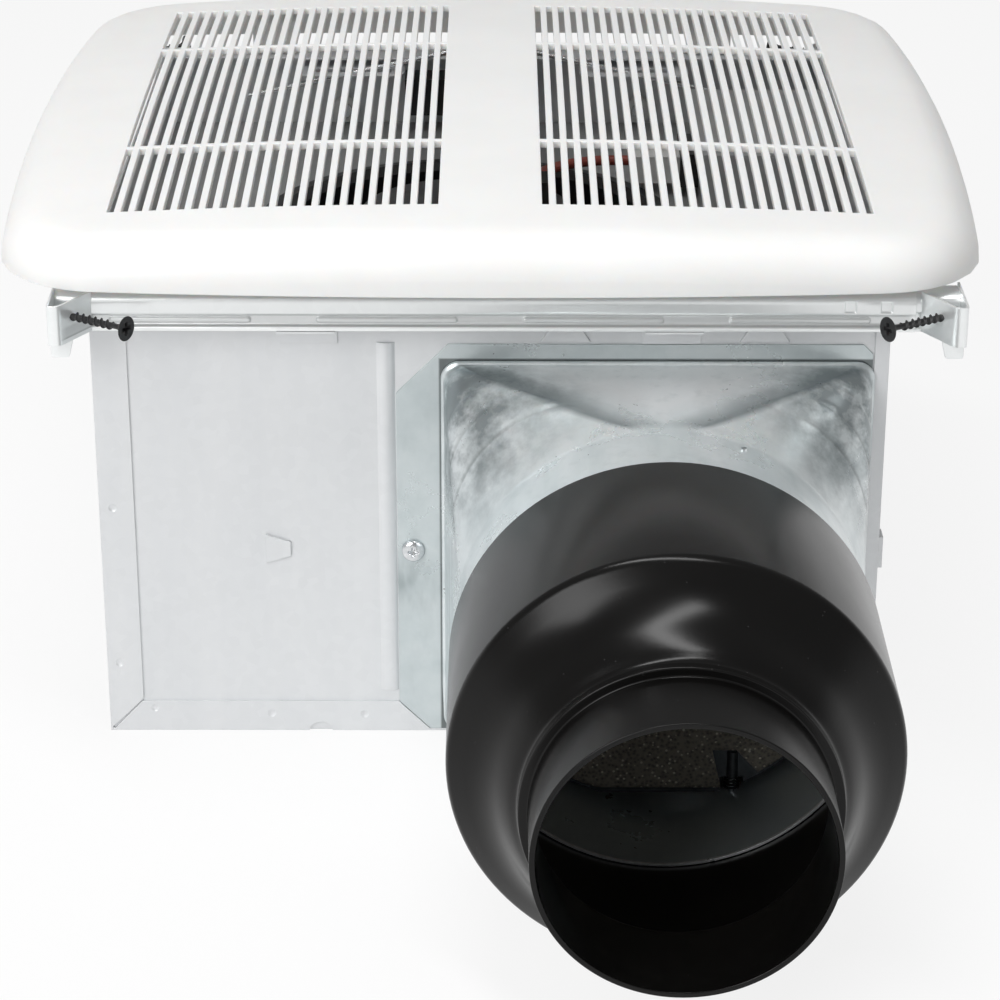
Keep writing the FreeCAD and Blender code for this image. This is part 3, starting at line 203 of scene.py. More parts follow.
class Nodes:
    """A node tree with short ways to add nodes and to link them."""

    def __init__(self, tree):
        self.tree = tree

    def feed(self, socket, value):
        """Links a socket to another one or gives it a fixed value."""
        if isinstance(value, bpy.types.NodeSocket):
            self.tree.links.new(value, socket)
        else:
            socket.default_value = value

    def node(self, kind, **inputs):
        """A new shader node; its inputs are named with _ for each space."""
        made = self.tree.nodes.new("ShaderNode" + kind)
        for socket, value in inputs.items():
            self.feed(made.inputs[socket.replace("_", " ")], value)
        return made

    def math(self, operation, first, second=0.0, third=0.0):
        """The result of a sum on sockets and numbers."""
        made = self.node("Math")
        made.operation = operation
        for socket, value in zip(made.inputs, (first, second, third)):
            self.feed(socket, value)
        return made.outputs[0]

    def scaled(self, factor, low, high):
        """A factor of 0 to 1 carried to another range."""
        return self.node("MapRange", Value=factor, To_Min=low, To_Max=high).outputs["Result"]

    def band(self, value, low, high):
        """0 at one value, 1 at another and straight between them."""
        return self.node("MapRange", Value=value, From_Min=low, From_Max=high).outputs["Result"]


class Finish(Nodes):
    """A principled material whose colour, roughness and bump come from texture nodes."""

    def __init__(self, name, **constants):
        self.material = bpy.data.materials.new(name)
        self.material.use_nodes = True
        super().__init__(self.material.node_tree)
        self.shader = self.tree.nodes["Principled BSDF"]
        for socket, value in constants.items():
            self.shader.inputs[socket.replace("_", " ")].default_value = value
        self.place = self.node("TexCoord").outputs["Object"]
        self.height = None

    def stretched(self, scale):
        """Object coordinates scaled unevenly, for brushed or drawn marks."""
        return self.node("Mapping", Vector=self.place, Scale=scale).outputs["Vector"]

    def noise(self, scale, detail=3.0, roughness=0.55, place=None):
        """Cloudy values of 0 to 1."""
        made = self.node("TexNoise", Vector=place or self.place, Scale=scale, Detail=detail,
                         Roughness=roughness)
        return made.outputs["Fac"]

    def cells(self, scale, output="Color"):
        """Voronoi cells: a colour for each, or the distance to its middle."""
        return self.node("TexVoronoi", Vector=self.place, Scale=scale).outputs[output]

    def ramp(self, factor, stops):
        """A colour ramp; each stop is a place and a grey value or a colour."""
        made = self.node("ValToRGB", Fac=factor)
        elements = made.color_ramp.elements
        while len(elements) < len(stops):
            elements.new(0.5)
        for element, (place, colour) in zip(elements, stops):
            element.position = place
            tone = (colour,) * 3 if isinstance(colour, (int, float)) else colour
            element.color = (*tone, 1.0)
        return made.outputs["Color"]

    def mixed(self, factor, first, second, blend="MIX"):
        """Two colours mixed by a factor."""
        made = self.node("Mix")
        made.data_type = "RGBA"
        made.blend_type = blend
        colour_sockets = [s for s in made.inputs if s.type == "RGBA"]
        self.feed([s for s in made.inputs if s.type == "VALUE"][0], factor)
        for socket, value in zip(colour_sockets, (first, second)):
            self.feed(socket, value if isinstance(value, bpy.types.NodeSocket) else (*value, 1.0))
        return [s for s in made.outputs if s.type == "RGBA"][0]

    def coordinate(self, axis):
        """The object coordinate on one axis, in metres."""
        return self.node("SeparateXYZ", Vector=self.place).outputs[axis]

    def along(self, axis, first, last):
        """0 at one place on an axis, 1 at another, both in millimetres."""
        return self.band(self.coordinate(axis), first * MM, last * MM)

    def gap(self, first, second):
        """How far two values are apart."""
        return self.math("ABSOLUTE", self.math("SUBTRACT", first, second))

    def away(self, axis, centre):
        """Distance in metres from a place on an axis given in millimetres."""
        return self.gap(self.coordinate(axis), centre * MM)

    def distance(self, place, centre):
        """Distance in metres of a place from a centre given in millimetres."""
        made = self.node("VectorMath")
        made.operation = "DISTANCE"
        self.feed(made.inputs[0], place)
        made.inputs[1].default_value = [c * MM for c in centre]
        return made.outputs["Value"]

    def near(self, centre, reach):
        """1 at a centre given in millimetres, falling to 0 at a reach from it."""
        return self.band(self.distance(self.place, centre), reach * MM, 0.0)

    def product(self, *factors):
        """Several factors multiplied."""
        made = factors[0]
        for factor in factors[1:]:
            made = self.math("MULTIPLY", made, factor)
        return made

    def colour(self, socket):
        """Sets the base colour."""
        self.feed(self.shader.inputs["Base Color"], socket)

    def roughness(self, factor, low, high):
        """Sets a roughness that follows a factor from low to high."""
        self.feed(self.shader.inputs["Roughness"], self.scaled(factor, low, high))

    def bump(self, height, depth, rounding=0.0):
        """Adds a bump of a real depth in millimetres; rounding softens sharp edges of the mesh."""
        made = self.node("Bump", Height=height, Distance=depth * MM, Strength=1.0)
        if self.height is not None:
            self.feed(made.inputs["Normal"], self.height)
        elif rounding:
            edge = self.node("Bevel", Radius=rounding * MM)
            edge.samples = 4
            self.feed(made.inputs["Normal"], edge.outputs["Normal"])
        self.height = made.outputs["Normal"]
        self.feed(self.shader.inputs["Normal"], self.height)


def speckled(name, base, tint, scale, rough, depth, rounding=0.0, **constants):
    """A plain moulded or painted finish: clouds of tint, uneven gloss and a fine grain."""
    finish = Finish(name, **constants)
    clouds = finish.noise(scale, 4.0)
    finish.colour(finish.ramp(clouds, [(0.3, base), (0.7, tint)]))
    finish.roughness(finish.noise(scale * 2.3, 3.0), *rough)
    finish.bump(finish.noise(scale * 14, 2.0), depth, rounding)
    return finish.material


def sheet_steel(name, base, tint, rough, drawn, metallic, rolled=None):
    """Zinc-coated sheet: faint spangle, streaks and scuffs; a rolled bar also gets painted shade in bands
    across its height.
    """
    finish = Finish(name, Metallic=metallic)
    streaks = finish.noise(60.0, 4.0, place=finish.stretched(drawn))
    spangle = finish.cells(260.0)
    grey = finish.node("RGBToBW", Color=spangle).outputs["Val"]
    body = finish.ramp(streaks, [(0.25, base), (0.75, tint)])
    colour = finish.mixed(finish.scaled(grey, 0.0, 0.10), body, tuple(0.7 * c for c in base))
    if rolled:
        # Painted shade: darker bands over the bar's lip and web, only along the rail
        shade = finish.ramp(finish.along("Z", BAR_LOW, BAR_HIGH), rolled)
        rail = finish.band(finish.away("X", 0.0), (RAIL_HALF + 2) * MM, RAIL_HALF * MM)
        colour = finish.mixed(rail, colour, finish.mixed(1.0, colour, shade, "MULTIPLY"))
    finish.colour(colour)
    scuffs = finish.noise(38.0, 6.0, 0.7)
    finish.roughness(finish.mixed(0.4, streaks, scuffs), *rough)
    finish.bump(streaks, 0.02, 0.35)
    finish.bump(finish.noise(12.0, 2.0), 0.25)
    return finish.material


housing_steel = sheet_steel("housing_steel", (0.74, 0.755, 0.77), (0.79, 0.80, 0.81), (0.36, 0.48),
                            (1, 1, 0.15), 0.45)
# Painted shade: the housing's zinc-coated steel painted darker for the parts that lie in shade inside it
shaded_inner_steel = sheet_steel("shaded_inner_steel", (0.42, 0.43, 0.43), (0.50, 0.50, 0.50), (0.36, 0.48),
                          (1, 0.15, 1), 0.45)
# Painted shade across a bar's height, as shares from its foot to its top: a dark line over the lip, a
# darker web, none on the upper face
BAR_SHADE_BANDS = [(0.0, 1.0), (0.09, 1.0), (0.12, 0.5), (0.16, 0.74), (0.36, 0.72), (0.43, 0.9), (0.75, 1.0)]
bar_steel = sheet_steel("bar_steel", (0.90, 0.93, 0.93), (0.97, 0.98, 0.98), (0.24, 0.36),
                        (0.04, 1, 1), 0.6, BAR_SHADE_BANDS)
zinc = speckled("zinc_fastener", (0.62, 0.64, 0.66), (0.78, 0.79, 0.80), 300.0, (0.15, 0.30), 0.02,
                Metallic=1.0)
bright_steel = speckled("bright_steel", (0.55, 0.56, 0.57), (0.72, 0.73, 0.74), 180.0, (0.18, 0.32), 0.01,
                        Metallic=1.0)
# Painted shade: zinc-coated steel painted near black for the damper flap, which lies in the duct's shade
shaded_flap_steel = speckled("shaded_flap_steel", (0.05, 0.055, 0.06), (0.09, 0.095, 0.10), 160.0, (0.4, 0.55), 0.02,
                      Metallic=0.6)
black_oxide = speckled("black_screw", (0.012, 0.012, 0.013), (0.03, 0.03, 0.031), 420.0, (0.32, 0.5), 0.03,
                       Metallic=0.3)
moulded_black = speckled("moulded_black", (0.012, 0.012, 0.013), (0.02, 0.02, 0.021), 90.0, (0.3, 0.42),
                         0.02, 0.4)
nylon = speckled("nylon", (0.72, 0.72, 0.70), (0.80, 0.80, 0.78), 120.0, (0.35, 0.5), 0.02, 0.3)
motor_paint = speckled("motor_paint", (0.03, 0.032, 0.035), (0.06, 0.062, 0.066), 140.0, (0.3, 0.45),
                       0.03, 0.5)
rubber = speckled("rubber", (0.014, 0.014, 0.014), (0.028, 0.028, 0.027), 220.0, (0.6, 0.8), 0.04, 0.3)
lead_jacket = speckled("lead_jacket", (0.26, 0.05, 0.035), (0.34, 0.07, 0.05), 160.0, (0.35, 0.5), 0.02)
grille_white = speckled("grille_white", (0.86, 0.856, 0.846), (0.89, 0.886, 0.876), 22.0, (0.36, 0.46),
                        0.012, Specular_IOR_Level=0.2, Subsurface_Weight=0.3, Subsurface_Scale=0.004,
                        Subsurface_Radius=(1.0, 0.75, 0.6))

# Tones of the connector's sheet; most of them are painted shade and painted highlights
STAIN = (0.48, 0.55, 0.565)
SCUFFS_AND_SHADE = (0.15, 0.18, 0.19)
FLANGE_SHADE = (0.46, 0.52, 0.53)
FACET_HIGHLIGHT = (0.97, 0.97, 0.97)
CREASE_SHADE = (0.17, 0.20, 0.21)
RIPPLE_SHADE = (0.20, 0.22, 0.22)
GROOVE_SHADE = (0.06, 0.07, 0.07)
SCRATCH_GREY = (0.46, 0.51, 0.52)
BORE_SHADE = (0.62, 0.68, 0.70)
RIM_HIGHLIGHT = (0.96, 0.97, 0.98)


def connector_steel():
    """Drawn galvanised sheet with stains and scuffs, painted shade in its folds, creases, ripples, bore and
    upper corners, and painted highlights on its flat facet and rim.
    """
    finish = Finish("connector_steel", Metallic=0.6)
    streaks = finish.noise(70.0, 5.0, place=finish.stretched((1.0, 0.12, 1.0)))
    patches = finish.noise(26.0, 5.0, 0.65)
    body = finish.ramp(streaks, [(0.2, (0.60, 0.66, 0.67)), (0.5, (0.76, 0.81, 0.82)),
                                 (0.8, (0.87, 0.90, 0.91))])
    colour = finish.mixed(finish.ramp(patches, [(0.50, 0.0), (0.75, 0.5)]), body, STAIN)
    scuffs = finish.noise(190.0, 2.0, 0.6, finish.stretched((1.0, 1.0, 0.35)))
    shade_blotches = finish.noise(75.0, 4.0, 0.65)

    # How far along the transition, and whether past the flange
    share = finish.along("Y", FRONT, FRONT - TRANSITION)
    drawn = finish.band(share, 0.02, 0.08)

    # Scuffs and painted shade: a centre, its reach, its strength, its marks and the part of the sheet that
    # takes it. The two upper-corner spots are painted shade, the one on the flange is scuffs, and the low
    # one darkens the transition's bottom left corner.
    for centre, reach, strength, marks, taken in (
            ((-12.0, -166.0, 146.0), 62.0, 1.3, shade_blotches, drawn),
            ((140.0, -166.0, 146.0), 62.0, 1.3, shade_blotches, drawn),
            ((-34.0, -153.8, 66.0), 18.0, 0.9, scuffs, 1.0),
            ((-14.0, -156.0, 5.0), 12.0, 1.2, shade_blotches, drawn)):
        spots = finish.ramp(marks, [(0.38, 0.2), (0.64, strength)])
        place = finish.product(finish.near(centre, reach), spots, taken)
        colour = finish.mixed(finish.math("MINIMUM", place, 0.75), colour, SCUFFS_AND_SHADE)
    # Painted shade over the whole flat flange
    colour = finish.mixed(finish.product(finish.band(share, 0.03, 0.0), 0.5), colour, FLANGE_SHADE)

    # A painted highlight on the flat facet over the duct, and painted shade in the crease at each side of
    # it
    across = finish.math("DIVIDE", finish.away("X", DUCT_X), CONNECTOR_WIDTH / 2 * MM)
    past = finish.math("SUBTRACT", finish.math("MULTIPLY_ADD", share, 0.9, across), 1.0)
    upper = finish.product(finish.along("Z", DUCT_Z + 55, DUCT_Z + 70), drawn,
                           finish.band(share, 0.98, 0.90))
    facet_highlight = finish.product(finish.band(past, -0.1, -0.4), upper, 0.7)
    colour = finish.mixed(facet_highlight, colour, FACET_HIGHLIGHT)
    crease_shade = finish.product(finish.band(past, -0.22, -0.01), finish.band(past, 0.05, 0.0), upper,
                            finish.scaled(streaks, 0.5, 1.0))
    colour = finish.mixed(crease_shade, colour, CREASE_SHADE)
    # Painted shade along the drawing ripples
    for ripple in RIPPLES:
        line = finish.band(finish.gap(share, ripple), 0.016, 0.004)
        line = finish.product(line, finish.band(past, 0.1, 0.35), finish.scaled(shade_blotches, 0.0, 0.9))
        colour = finish.mixed(line, colour, RIPPLE_SHADE)

    # Painted shade in the groove round the rolled fold
    beyond = [finish.math("SUBTRACT", finish.away(axis, centre), size / 2 * MM)
              for axis, centre, size in (("X", DUCT_X, CONNECTOR_WIDTH), ("Z", DUCT_Z, CONNECTOR_HEIGHT))]
    outside = finish.band(finish.math("MAXIMUM", *beyond), 2.1 * MM, 1.4 * MM)
    groove_shade = finish.product(outside, finish.along("Y", FRONT - 0.5, FRONT - 0.1), 0.8)
    colour = finish.mixed(groove_shade, colour, GROOVE_SHADE)
    colour = finish.mixed(finish.ramp(scuffs, [(0.55, 0.0), (0.75, 0.2)]), colour, SCRATCH_GREY)

    # Painted shade inside the collar and a painted highlight on its rim
    radius = finish.distance(finish.stretched((1.0, 0.0, 1.0)), (DUCT_X, 0.0, DUCT_Z))
    bore = DUCT_RADIUS - GAUGE
    colour = finish.mixed(finish.band(radius, (bore + 0.15) * MM, (bore + 0.05) * MM), colour, BORE_SHADE)
    end = FRONT - COLLAR_END
    finish.colour(finish.mixed(finish.along("Y", end + 1.4, end + 1.0), colour, RIM_HIGHLIGHT))
    finish.roughness(patches, 0.20, 0.38)
    finish.bump(streaks, 0.03, 0.3)
    finish.bump(finish.noise(26.0, 2.0), 0.3)
    return finish.material


def reducer_plastic():
    """Satin black moulding with dust specks and a slightly uneven wall."""
    finish = Finish("reducer_plastic", Specular_IOR_Level=0.22)
    clouds = finish.noise(18.0, 4.0)
    base = finish.ramp(clouds, [(0.3, (0.003, 0.0028, 0.0027)), (0.7, (0.005, 0.0047, 0.0044))])
    dust = finish.ramp(finish.cells(190.0, output="Distance"), [(0.035, 0.5), (0.06, 0.0)])
    finish.colour(finish.mixed(dust, base, (0.05, 0.05, 0.05)))
    finish.roughness(finish.noise(30.0, 4.0, 0.6), 0.18, 0.26)
    finish.bump(finish.noise(700.0, 2.0), 0.012)
    finish.bump(finish.noise(14.0, 2.0), 0.15)
    return finish.material


def foam_face():
    """Open-cell foam, black in itself, painted grey-brown as painted light in the duct's shade, with
    painted glints in small points.
    """
    finish = Finish("foam_face", Roughness=0.85, Specular_IOR_Level=0.2)
    cells = finish.cells(650.0, output="Distance")
    # Painted light: the black foam painted grey-brown
    base = finish.ramp(cells, [(0.1, (0.22, 0.20, 0.175)), (0.6, (0.44, 0.40, 0.34))])
    painted_glints = finish.ramp(finish.cells(420.0, output="Distance"), [(0.16, 1.0), (0.26, 0.0)])
    finish.colour(finish.mixed(painted_glints, base, (0.95, 0.9, 0.78)))
    finish.bump(cells, 0.5)
    return finish.material


duct_steel = connector_steel()
duct_plastic = reducer_plastic()
foam = foam_face()


# Grille

EDGE_SAMPLES = 4000
ARC_SAMPLES = 240
CORNER_SAMPLES = 80


def arc_through(first, middle, last, count):
    """Points on the arc through three points of a plane, without the last one."""
    a, b, c = (complex(*point) for point in (first, middle, last))
    ratio = (c - a) / (b - a)
    centre = a + (b - a) * (ratio - abs(ratio) ** 2) / (2j * ratio.imag)
    sweep = cmath.phase((c - centre) / (a - centre))
    arc = [centre + (a - centre) * cmath.exp(1j * sweep * i / count) for i in range(count)]
    return [(point.real, point.imag) for point in arc]


def grille_side(count, quarter):
    """One side of the bowed rectangle as if it were the front one, from corner crown to corner crown."""
    start_deep = GRILLE_HALF - GRILLE_CORNER
    slope = GRILLE_BOW / start_deep
    start_wide = (GRILLE_HALF_WIDTH - GRILLE_BOW - GRILLE_CORNER) / (1 - slope)
    flank_wide = GRILLE_HALF_WIDTH - GRILLE_BOW
    flank_deep = GRILLE_HALF - slope * start_wide
    bulge = (flank_wide - start_wide) / 2 * math.tan((math.pi / 4 - 2 * math.atan(slope)) / 2)
    crown = ((start_wide + flank_wide) / 2 + bulge, -(start_deep + flank_deep) / 2 - bulge)
    start, flank, half, end = (start_wide, flank_deep, GRILLE_HALF, (flank_wide, -start_deep))
    if quarter % 2:
        start, flank, half, end = (start_deep, flank_wide, GRILLE_HALF_WIDTH, (flank_deep, -start_wide))
        crown = (-crown[1], -crown[0])
    half_corner = arc_through((start, -flank), crown, end, CORNER_SAMPLES)[:CORNER_SAMPLES // 2 + 1]
    side = arc_through((-start, -flank), (0, -half), (start, -flank), ARC_SAMPLES)
    line = [(-x, y) for x, y in half_corner[::-1]] + side[1:] + half_corner
    steps = [math.dist(a, b) for a, b in zip(line, line[1:])]
    along = np.concatenate([[0], np.cumsum(steps)])
    wanted = np.linspace(0, along[-1], count)
    xs = np.interp(wanted, along, [p[0] for p in line])
    ys = np.interp(wanted, along, [p[1] for p in line])
    return list(zip(xs, ys))


def turned_quarter(points, quarter):
    """Points of a plane turned by quarter turns about the origin."""
    for _ in range(quarter):
        points = [(-y, x) for x, y in points]
    return points


GRILLE_EDGE = np.array([p for q in range(4) for p in turned_quarter(grille_side(EDGE_SAMPLES, q), q)])
BALL_DROP = GRILLE_DROP / SLOT_REACH ** 2
SKIRT_LEAST = 0.4


def grille_top(x, y):
    """Height of the cover's outer face: a shallow ball that rolls over near the outline."""
    gaps = np.hypot(GRILLE_EDGE[:, 0] - x, GRILLE_EDGE[:, 1] - y)
    nearest = int(np.argmin(gaps))
    inset = float(gaps[nearest])
    crown = GRILLE_TOP - BALL_DROP * (x * x + y * y)
    edge_x, edge_y = GRILLE_EDGE[nearest]
    edge_height = GRILLE_TOP - BALL_DROP * (edge_x ** 2 + edge_y ** 2)
    roll = min(GRILLE_ROUND, edge_height - GRILLE_LOW - SKIRT_LEAST)
    if inset >= roll:
        return crown
    return crown - roll + math.sqrt(roll * roll - (roll - inset) ** 2)


def grille_cover():
    """One moulded shell: a grid that leaves out its slots, and a ring that rolls over to the rim."""
    half_slot = SLOT_WIDTH / 2
    slot_xs = [s * (FIELD_INNER + n * SLOT_PITCH) for s in (-1, 1) for n in range(SLOTS_ACROSS)]
    edge_x = FIELD_INNER + (SLOTS_ACROSS - 1) * SLOT_PITCH + half_slot + FIELD_MARGIN
    edge_y = SLOT_REACH + FIELD_MARGIN
    plain = [-edge_x, edge_x, -FIELD_INNER / 2, 0.0, FIELD_INNER / 2]
    xs = sorted(plain + [x + side * half_slot for x in slot_xs for side in (-1, 1)])
    rib_low = RIB_PLACE - RIB_WIDTH / 2
    rib_high = RIB_PLACE + RIB_WIDTH / 2
    rows = [(-SLOT_REACH, -rib_high), (-rib_low, rib_low), (rib_high, SLOT_REACH)]
    ys = {-edge_y, edge_y}
    for low, high in rows:
        ys.update(np.linspace(low, high, SLOT_STATIONS).tolist())
    ys = sorted(ys)
    points = [(x, y, grille_top(x, y)) for y in ys for x in xs]
    columns = len(xs)

    def in_slot(x, y):
        return min(abs(x - s) for s in slot_xs) < half_slot and any(low < y < high for low, high in rows)

    faces = []
    for number, face in enumerate(grid_faces(len(ys), columns)):
        row, column = divmod(number, columns - 1)
        if not in_slot((xs[column] + xs[column + 1]) / 2, (ys[row] + ys[row + 1]) / 2):
            faces.append(face)

    # The rim of the grid, counter-clockwise from its front left corner
    last_row = len(ys) - 1
    border = [(0, c) for c in range(columns - 1)] + [(r, columns - 1) for r in range(last_row)]
    border += [(last_row, c) for c in range(columns - 1, 0, -1)] + [(r, 0) for r in range(last_row, 0, -1)]
    inner = [r * columns + c for r, c in border]
    outer = []
    for quarter, count in enumerate([columns, len(ys)] * 2):
        outer += turned_quarter(grille_side(count, quarter), quarter)[:-1]

    # Rings from that rim to the outline, then the skirt
    rings = []
    for share in RING_SHARES:
        places = [between(points[index][:2], place, share) for index, place in zip(inner, outer)]
        rings.append([(*place, grille_top(*place)) for place in places])
    rings.append([(x, y, GRILLE_LOW) for x, y, _ in rings[-1]])
    previous = inner
    for ring in rings:
        numbers = range(len(points), len(points) + len(ring))
        points += ring
        faces += band_faces(previous, numbers)
        previous = numbers
    cover = mesh_piece("grille_cover", points, faces, "grille", "grille_plastic", grille_white, ["grille"])
    thicken(cover, GRILLE_WALL)
    soften(cover, 0.35, 2, 50)


grille_cover()


# Duct

def rounded_profile(corners):
    """A closed profile of (radius, distance, rounding) with every corner rounded by its own amount."""
    line = []
    for number, (radius, distance, rounding) in enumerate(corners):
        corner = Vector((radius, distance))
        before = Vector(corners[number - 1][:2])
        after = Vector(corners[(number + 1) % len(corners)][:2])
        reaches = [min(rounding, (other - corner).length * MOST_OF_RUN) for other in (before, after)]
        line += bend(before, corner, after, *reaches, 6)
    return line


REDUCER_WALL = 2.0
REDUCER_PLAY = 0.3
REDUCER_START = 94.0
REDUCER_SHOULDER = 172.0
REDUCER_NECK = 199.0
REDUCER_END = 237.0
REDUCER_SEGMENTS = 144
CONE_BULGE = (13.0, 10.5)
CONE_FOOT = (4.0, 3.0)
NECK_STEP = 3.4
NECK_RING = 6.0


def reducer():
    """Large sleeve, crisp shoulder, cone, neck ring and small collar, turned about the duct's axis."""
    bore = DUCT_RADIUS + REDUCER_PLAY
    shell = bore + REDUCER_WALL
    neck = OUTLET_RADIUS + NECK_STEP
    ring_end = REDUCER_NECK + NECK_RING
    inside = OUTLET_RADIUS - REDUCER_WALL
    profile = rounded_profile([
        (bore, REDUCER_START, 0.3), (shell, REDUCER_START, 0.6), (shell, REDUCER_SHOULDER, 2.2),
        (shell - CONE_BULGE[0], REDUCER_SHOULDER + CONE_BULGE[1], 9.0),
        (neck + CONE_FOOT[0], REDUCER_NECK - CONE_FOOT[1], 6.0),
        (neck, REDUCER_NECK + NECK_RING / 4, 1.6), (neck, ring_end, 0.7), (OUTLET_RADIUS, ring_end, 0.8),
        (OUTLET_RADIUS, REDUCER_END, 0.5), (inside, REDUCER_END, 0.5), (inside, REDUCER_NECK, 2.0),
        (bore, REDUCER_SHOULDER - REDUCER_WALL, 2.0)])
    turns = directions(REDUCER_SEGMENTS)
    rings = [[(DUCT_X + radius * across, FRONT - distance, DUCT_Z + radius * up) for across, up in turns]
             for radius, distance in profile]
    mesh_piece("reducer_shell", *skinned(rings, True), "housing", "black_plastic", duct_plastic,
               ["reducer"])


CONNECTOR_CORNER = 6.0
FOLD_RADIUS = 1.1
FOLD_STEPS = 6
FOLD_FADE = 10.0
RIPPLE_DEPTH = 0.6
RIPPLE_WIDTH = 0.014
CREASE_DEPTH = 0.7
TRANSITION_STEPS = 64
TRANSITION_EASE = 0.06
FLANGE_GAP = 0.3
FLANGE_LEFT = 18.2
FLANGE_TOP = 7.5
FLANGE_CHAMFER = 20.0
PAN_FLANGE = 13.3
SIDE_STEPS = 10
CORNER_STEPS = 26
FLAT_TURN = math.radians(6)


def square_line(grown):
    """Points of the connector's rounded square, grown all round, side by side with those of round_line."""
    line = []
    corner = CONNECTOR_CORNER + grown
    sizes = (CONNECTOR_WIDTH + 2 * grown, CONNECTOR_HEIGHT + 2 * grown)
    for quarter in range(4):
        across, up = sizes if quarter % 2 == 0 else sizes[::-1]
        run = up - 2 * corner
        side = [(across / 2, -run / 2 + run * i / SIDE_STEPS) for i in range(SIDE_STEPS)]
        for i in range(CORNER_STEPS):
            turn = math.pi / 2 * i / CORNER_STEPS
            side.append((across / 2 - corner + corner * math.cos(turn),
                         up / 2 - corner + corner * math.sin(turn)))
        line += turned_quarter(side, quarter)
    return line


def round_line(radius):
    """Points of a circle: each flat side holds a small turn and each corner the rest."""
    line = []
    for quarter in range(4):
        angles = [-FLAT_TURN + 2 * FLAT_TURN * i / SIDE_STEPS for i in range(SIDE_STEPS)]
        rest = math.pi / 2 - 2 * FLAT_TURN
        angles += [FLAT_TURN + rest * i / CORNER_STEPS for i in range(CORNER_STEPS)]
        line += turned_quarter([(radius * math.cos(a), radius * math.sin(a)) for a in angles], quarter)
    return line


def flange_line(square):
    """Points of the flange's outline, straight out from those of the square and at its own corners."""
    left = -CONNECTOR_WIDTH / 2 - FLANGE_LEFT
    right = CONNECTOR_WIDTH / 2
    low = -CONNECTOR_HEIGHT / 2
    high = CONNECTOR_HEIGHT / 2 + FLANGE_TOP
    foot = PAN_FLANGE - DUCT_Z
    tip = FLANGE_TOP / 2
    corners = [(right, low), (right, high - tip), (right - tip, high), (left + FLANGE_CHAMFER, high),
               (left, high - FLANGE_CHAMFER), (left, foot), (left + foot - low, low)]
    line = []
    for x, z in square:
        reaches = []
        for (ax, az), (bx, bz) in zip(corners, corners[1:] + corners[:1]):
            across = x * (bz - az) - z * (bx - ax)
            if across > 0:
                reaches.append((ax * (bz - az) - az * (bx - ax)) / across)
        line.append((x * min(reaches), z * min(reaches)))
    for corner in corners:
        nearest = min(range(len(line)), key=lambda number: math.dist(line[number], corner))
        line[nearest] = corner
    return line


def drawn_in(place, share):
    """How far the drawn sheet swells at a point of its round: sunk at ripples and creases."""
    swell = 0.0
    if place > SIDE_STEPS:
        corner = math.sin(math.pi * (place - SIDE_STEPS) / CORNER_STEPS)
        ripples = sum(-RIPPLE_DEPTH * math.exp(-((share - at) / RIPPLE_WIDTH) ** 2) for at in RIPPLES)
        swell = ripples * corner ** 0.5
    if place in (0, SIDE_STEPS):
        swell -= CREASE_DEPTH * math.sin(math.pi * share) ** 0.5
    return swell


def duct_connector():
    """Flange, folded edge, square-to-round transition with its drawing ripples, and collar."""
    square = square_line(0.0)
    circle = round_line(DUCT_RADIUS)
    rows = []

    def add(line, distance):
        rows.append([(DUCT_X + x, FRONT - distance, DUCT_Z + z) for x, z in line])

    edge = flange_line(square)
    outer = square_line(FLANGE_GAP)
    for share in (0.0, 0.5, 0.9):
        add([between(*pair, share) for pair in zip(edge, outer)], 0.0)
    for step in range(FOLD_STEPS + 1):
        turn = math.pi * (step / FOLD_STEPS - 0.5)
        wide = square_line(FOLD_RADIUS * math.cos(turn))
        lifts = [min(1.0, (z + CONNECTOR_HEIGHT / 2) / FOLD_FADE) for _, z in square]
        add([between(*spot) for spot in zip(square, wide, lifts)], FOLD_RADIUS * (1 + math.sin(turn)))
    for step in range(3, TRANSITION_STEPS + 1):
        share = step / TRANSITION_STEPS
        ease = share - TRANSITION_EASE * math.sin(2 * math.pi * share)
        line = []
        for number, pair in enumerate(zip(square, circle)):
            x, z = between(*pair, ease)
            grown = 1 + drawn_in(number % (SIDE_STEPS + CORNER_STEPS), share) / math.hypot(x, z)
            line.append((x * grown, z * grown))
        add(line, TRANSITION * share)
    for distance in (TRANSITION + 3.0, TRANSITION + 20.0, COLLAR_END - 1.0, COLLAR_END):
        add(circle, distance)
    points = [point for row in rows for point in row]
    faces = grid_faces(len(rows), len(square), True)
    shell = mesh_piece("connector_shell", points, faces, "housing", "connector_steel", duct_steel,
                       ["duct_connector", "duct_collar"])
    thicken(shell, GAUGE)
    soften(shell, 0.25, 2, 50)


reducer()
duct_connector()


# Hanger bars

BAR_FRONT_FACE = 6.8
BAR_LIP = 1.4
BAR_STEP = 1.6
BAR_ROUND = 3.0
BAR_NEST = 1.3
BAR_BEND = 1.8
BAR_FINE = 0.42
BAR_LEFT = 162.8
BAR_RIGHT = 175.8
SLEEVE_END = 158.5
BAR_TAIL = 140.0
BEAD_LENGTH = 53.0
BEAD_PITCH = 77.0
BEAD_HALF = 1.25
BEAD_PROUD = 1.0
BEADS = (-1.5, -0.5, 0.5, 1.5)
LANCES = (134.0, 147.5)
LANCE_HALF = 2.3
LANCE_DEPTH = 0.5
BRACKET_REACH = 31.0
BRACKET_HEM = 4.6
BRACKET_BEND = 2.0
BRACKET_SLANT = math.radians(31.7)
TONGUE_BACK = 8.0
TONGUE_WIDTH = 8.5
TONGUE_LOW = 169.0
TONGUE_BEND = 1.2


def merged(*shapes):
    """Several shapes, each points and faces, as one."""
    points = []
    faces = []
    for more_points, more_faces in shapes:
        base = len(points)
        points += more_points
        faces += [tuple(base + corner for corner in face) for face in more_faces]
    return points, faces


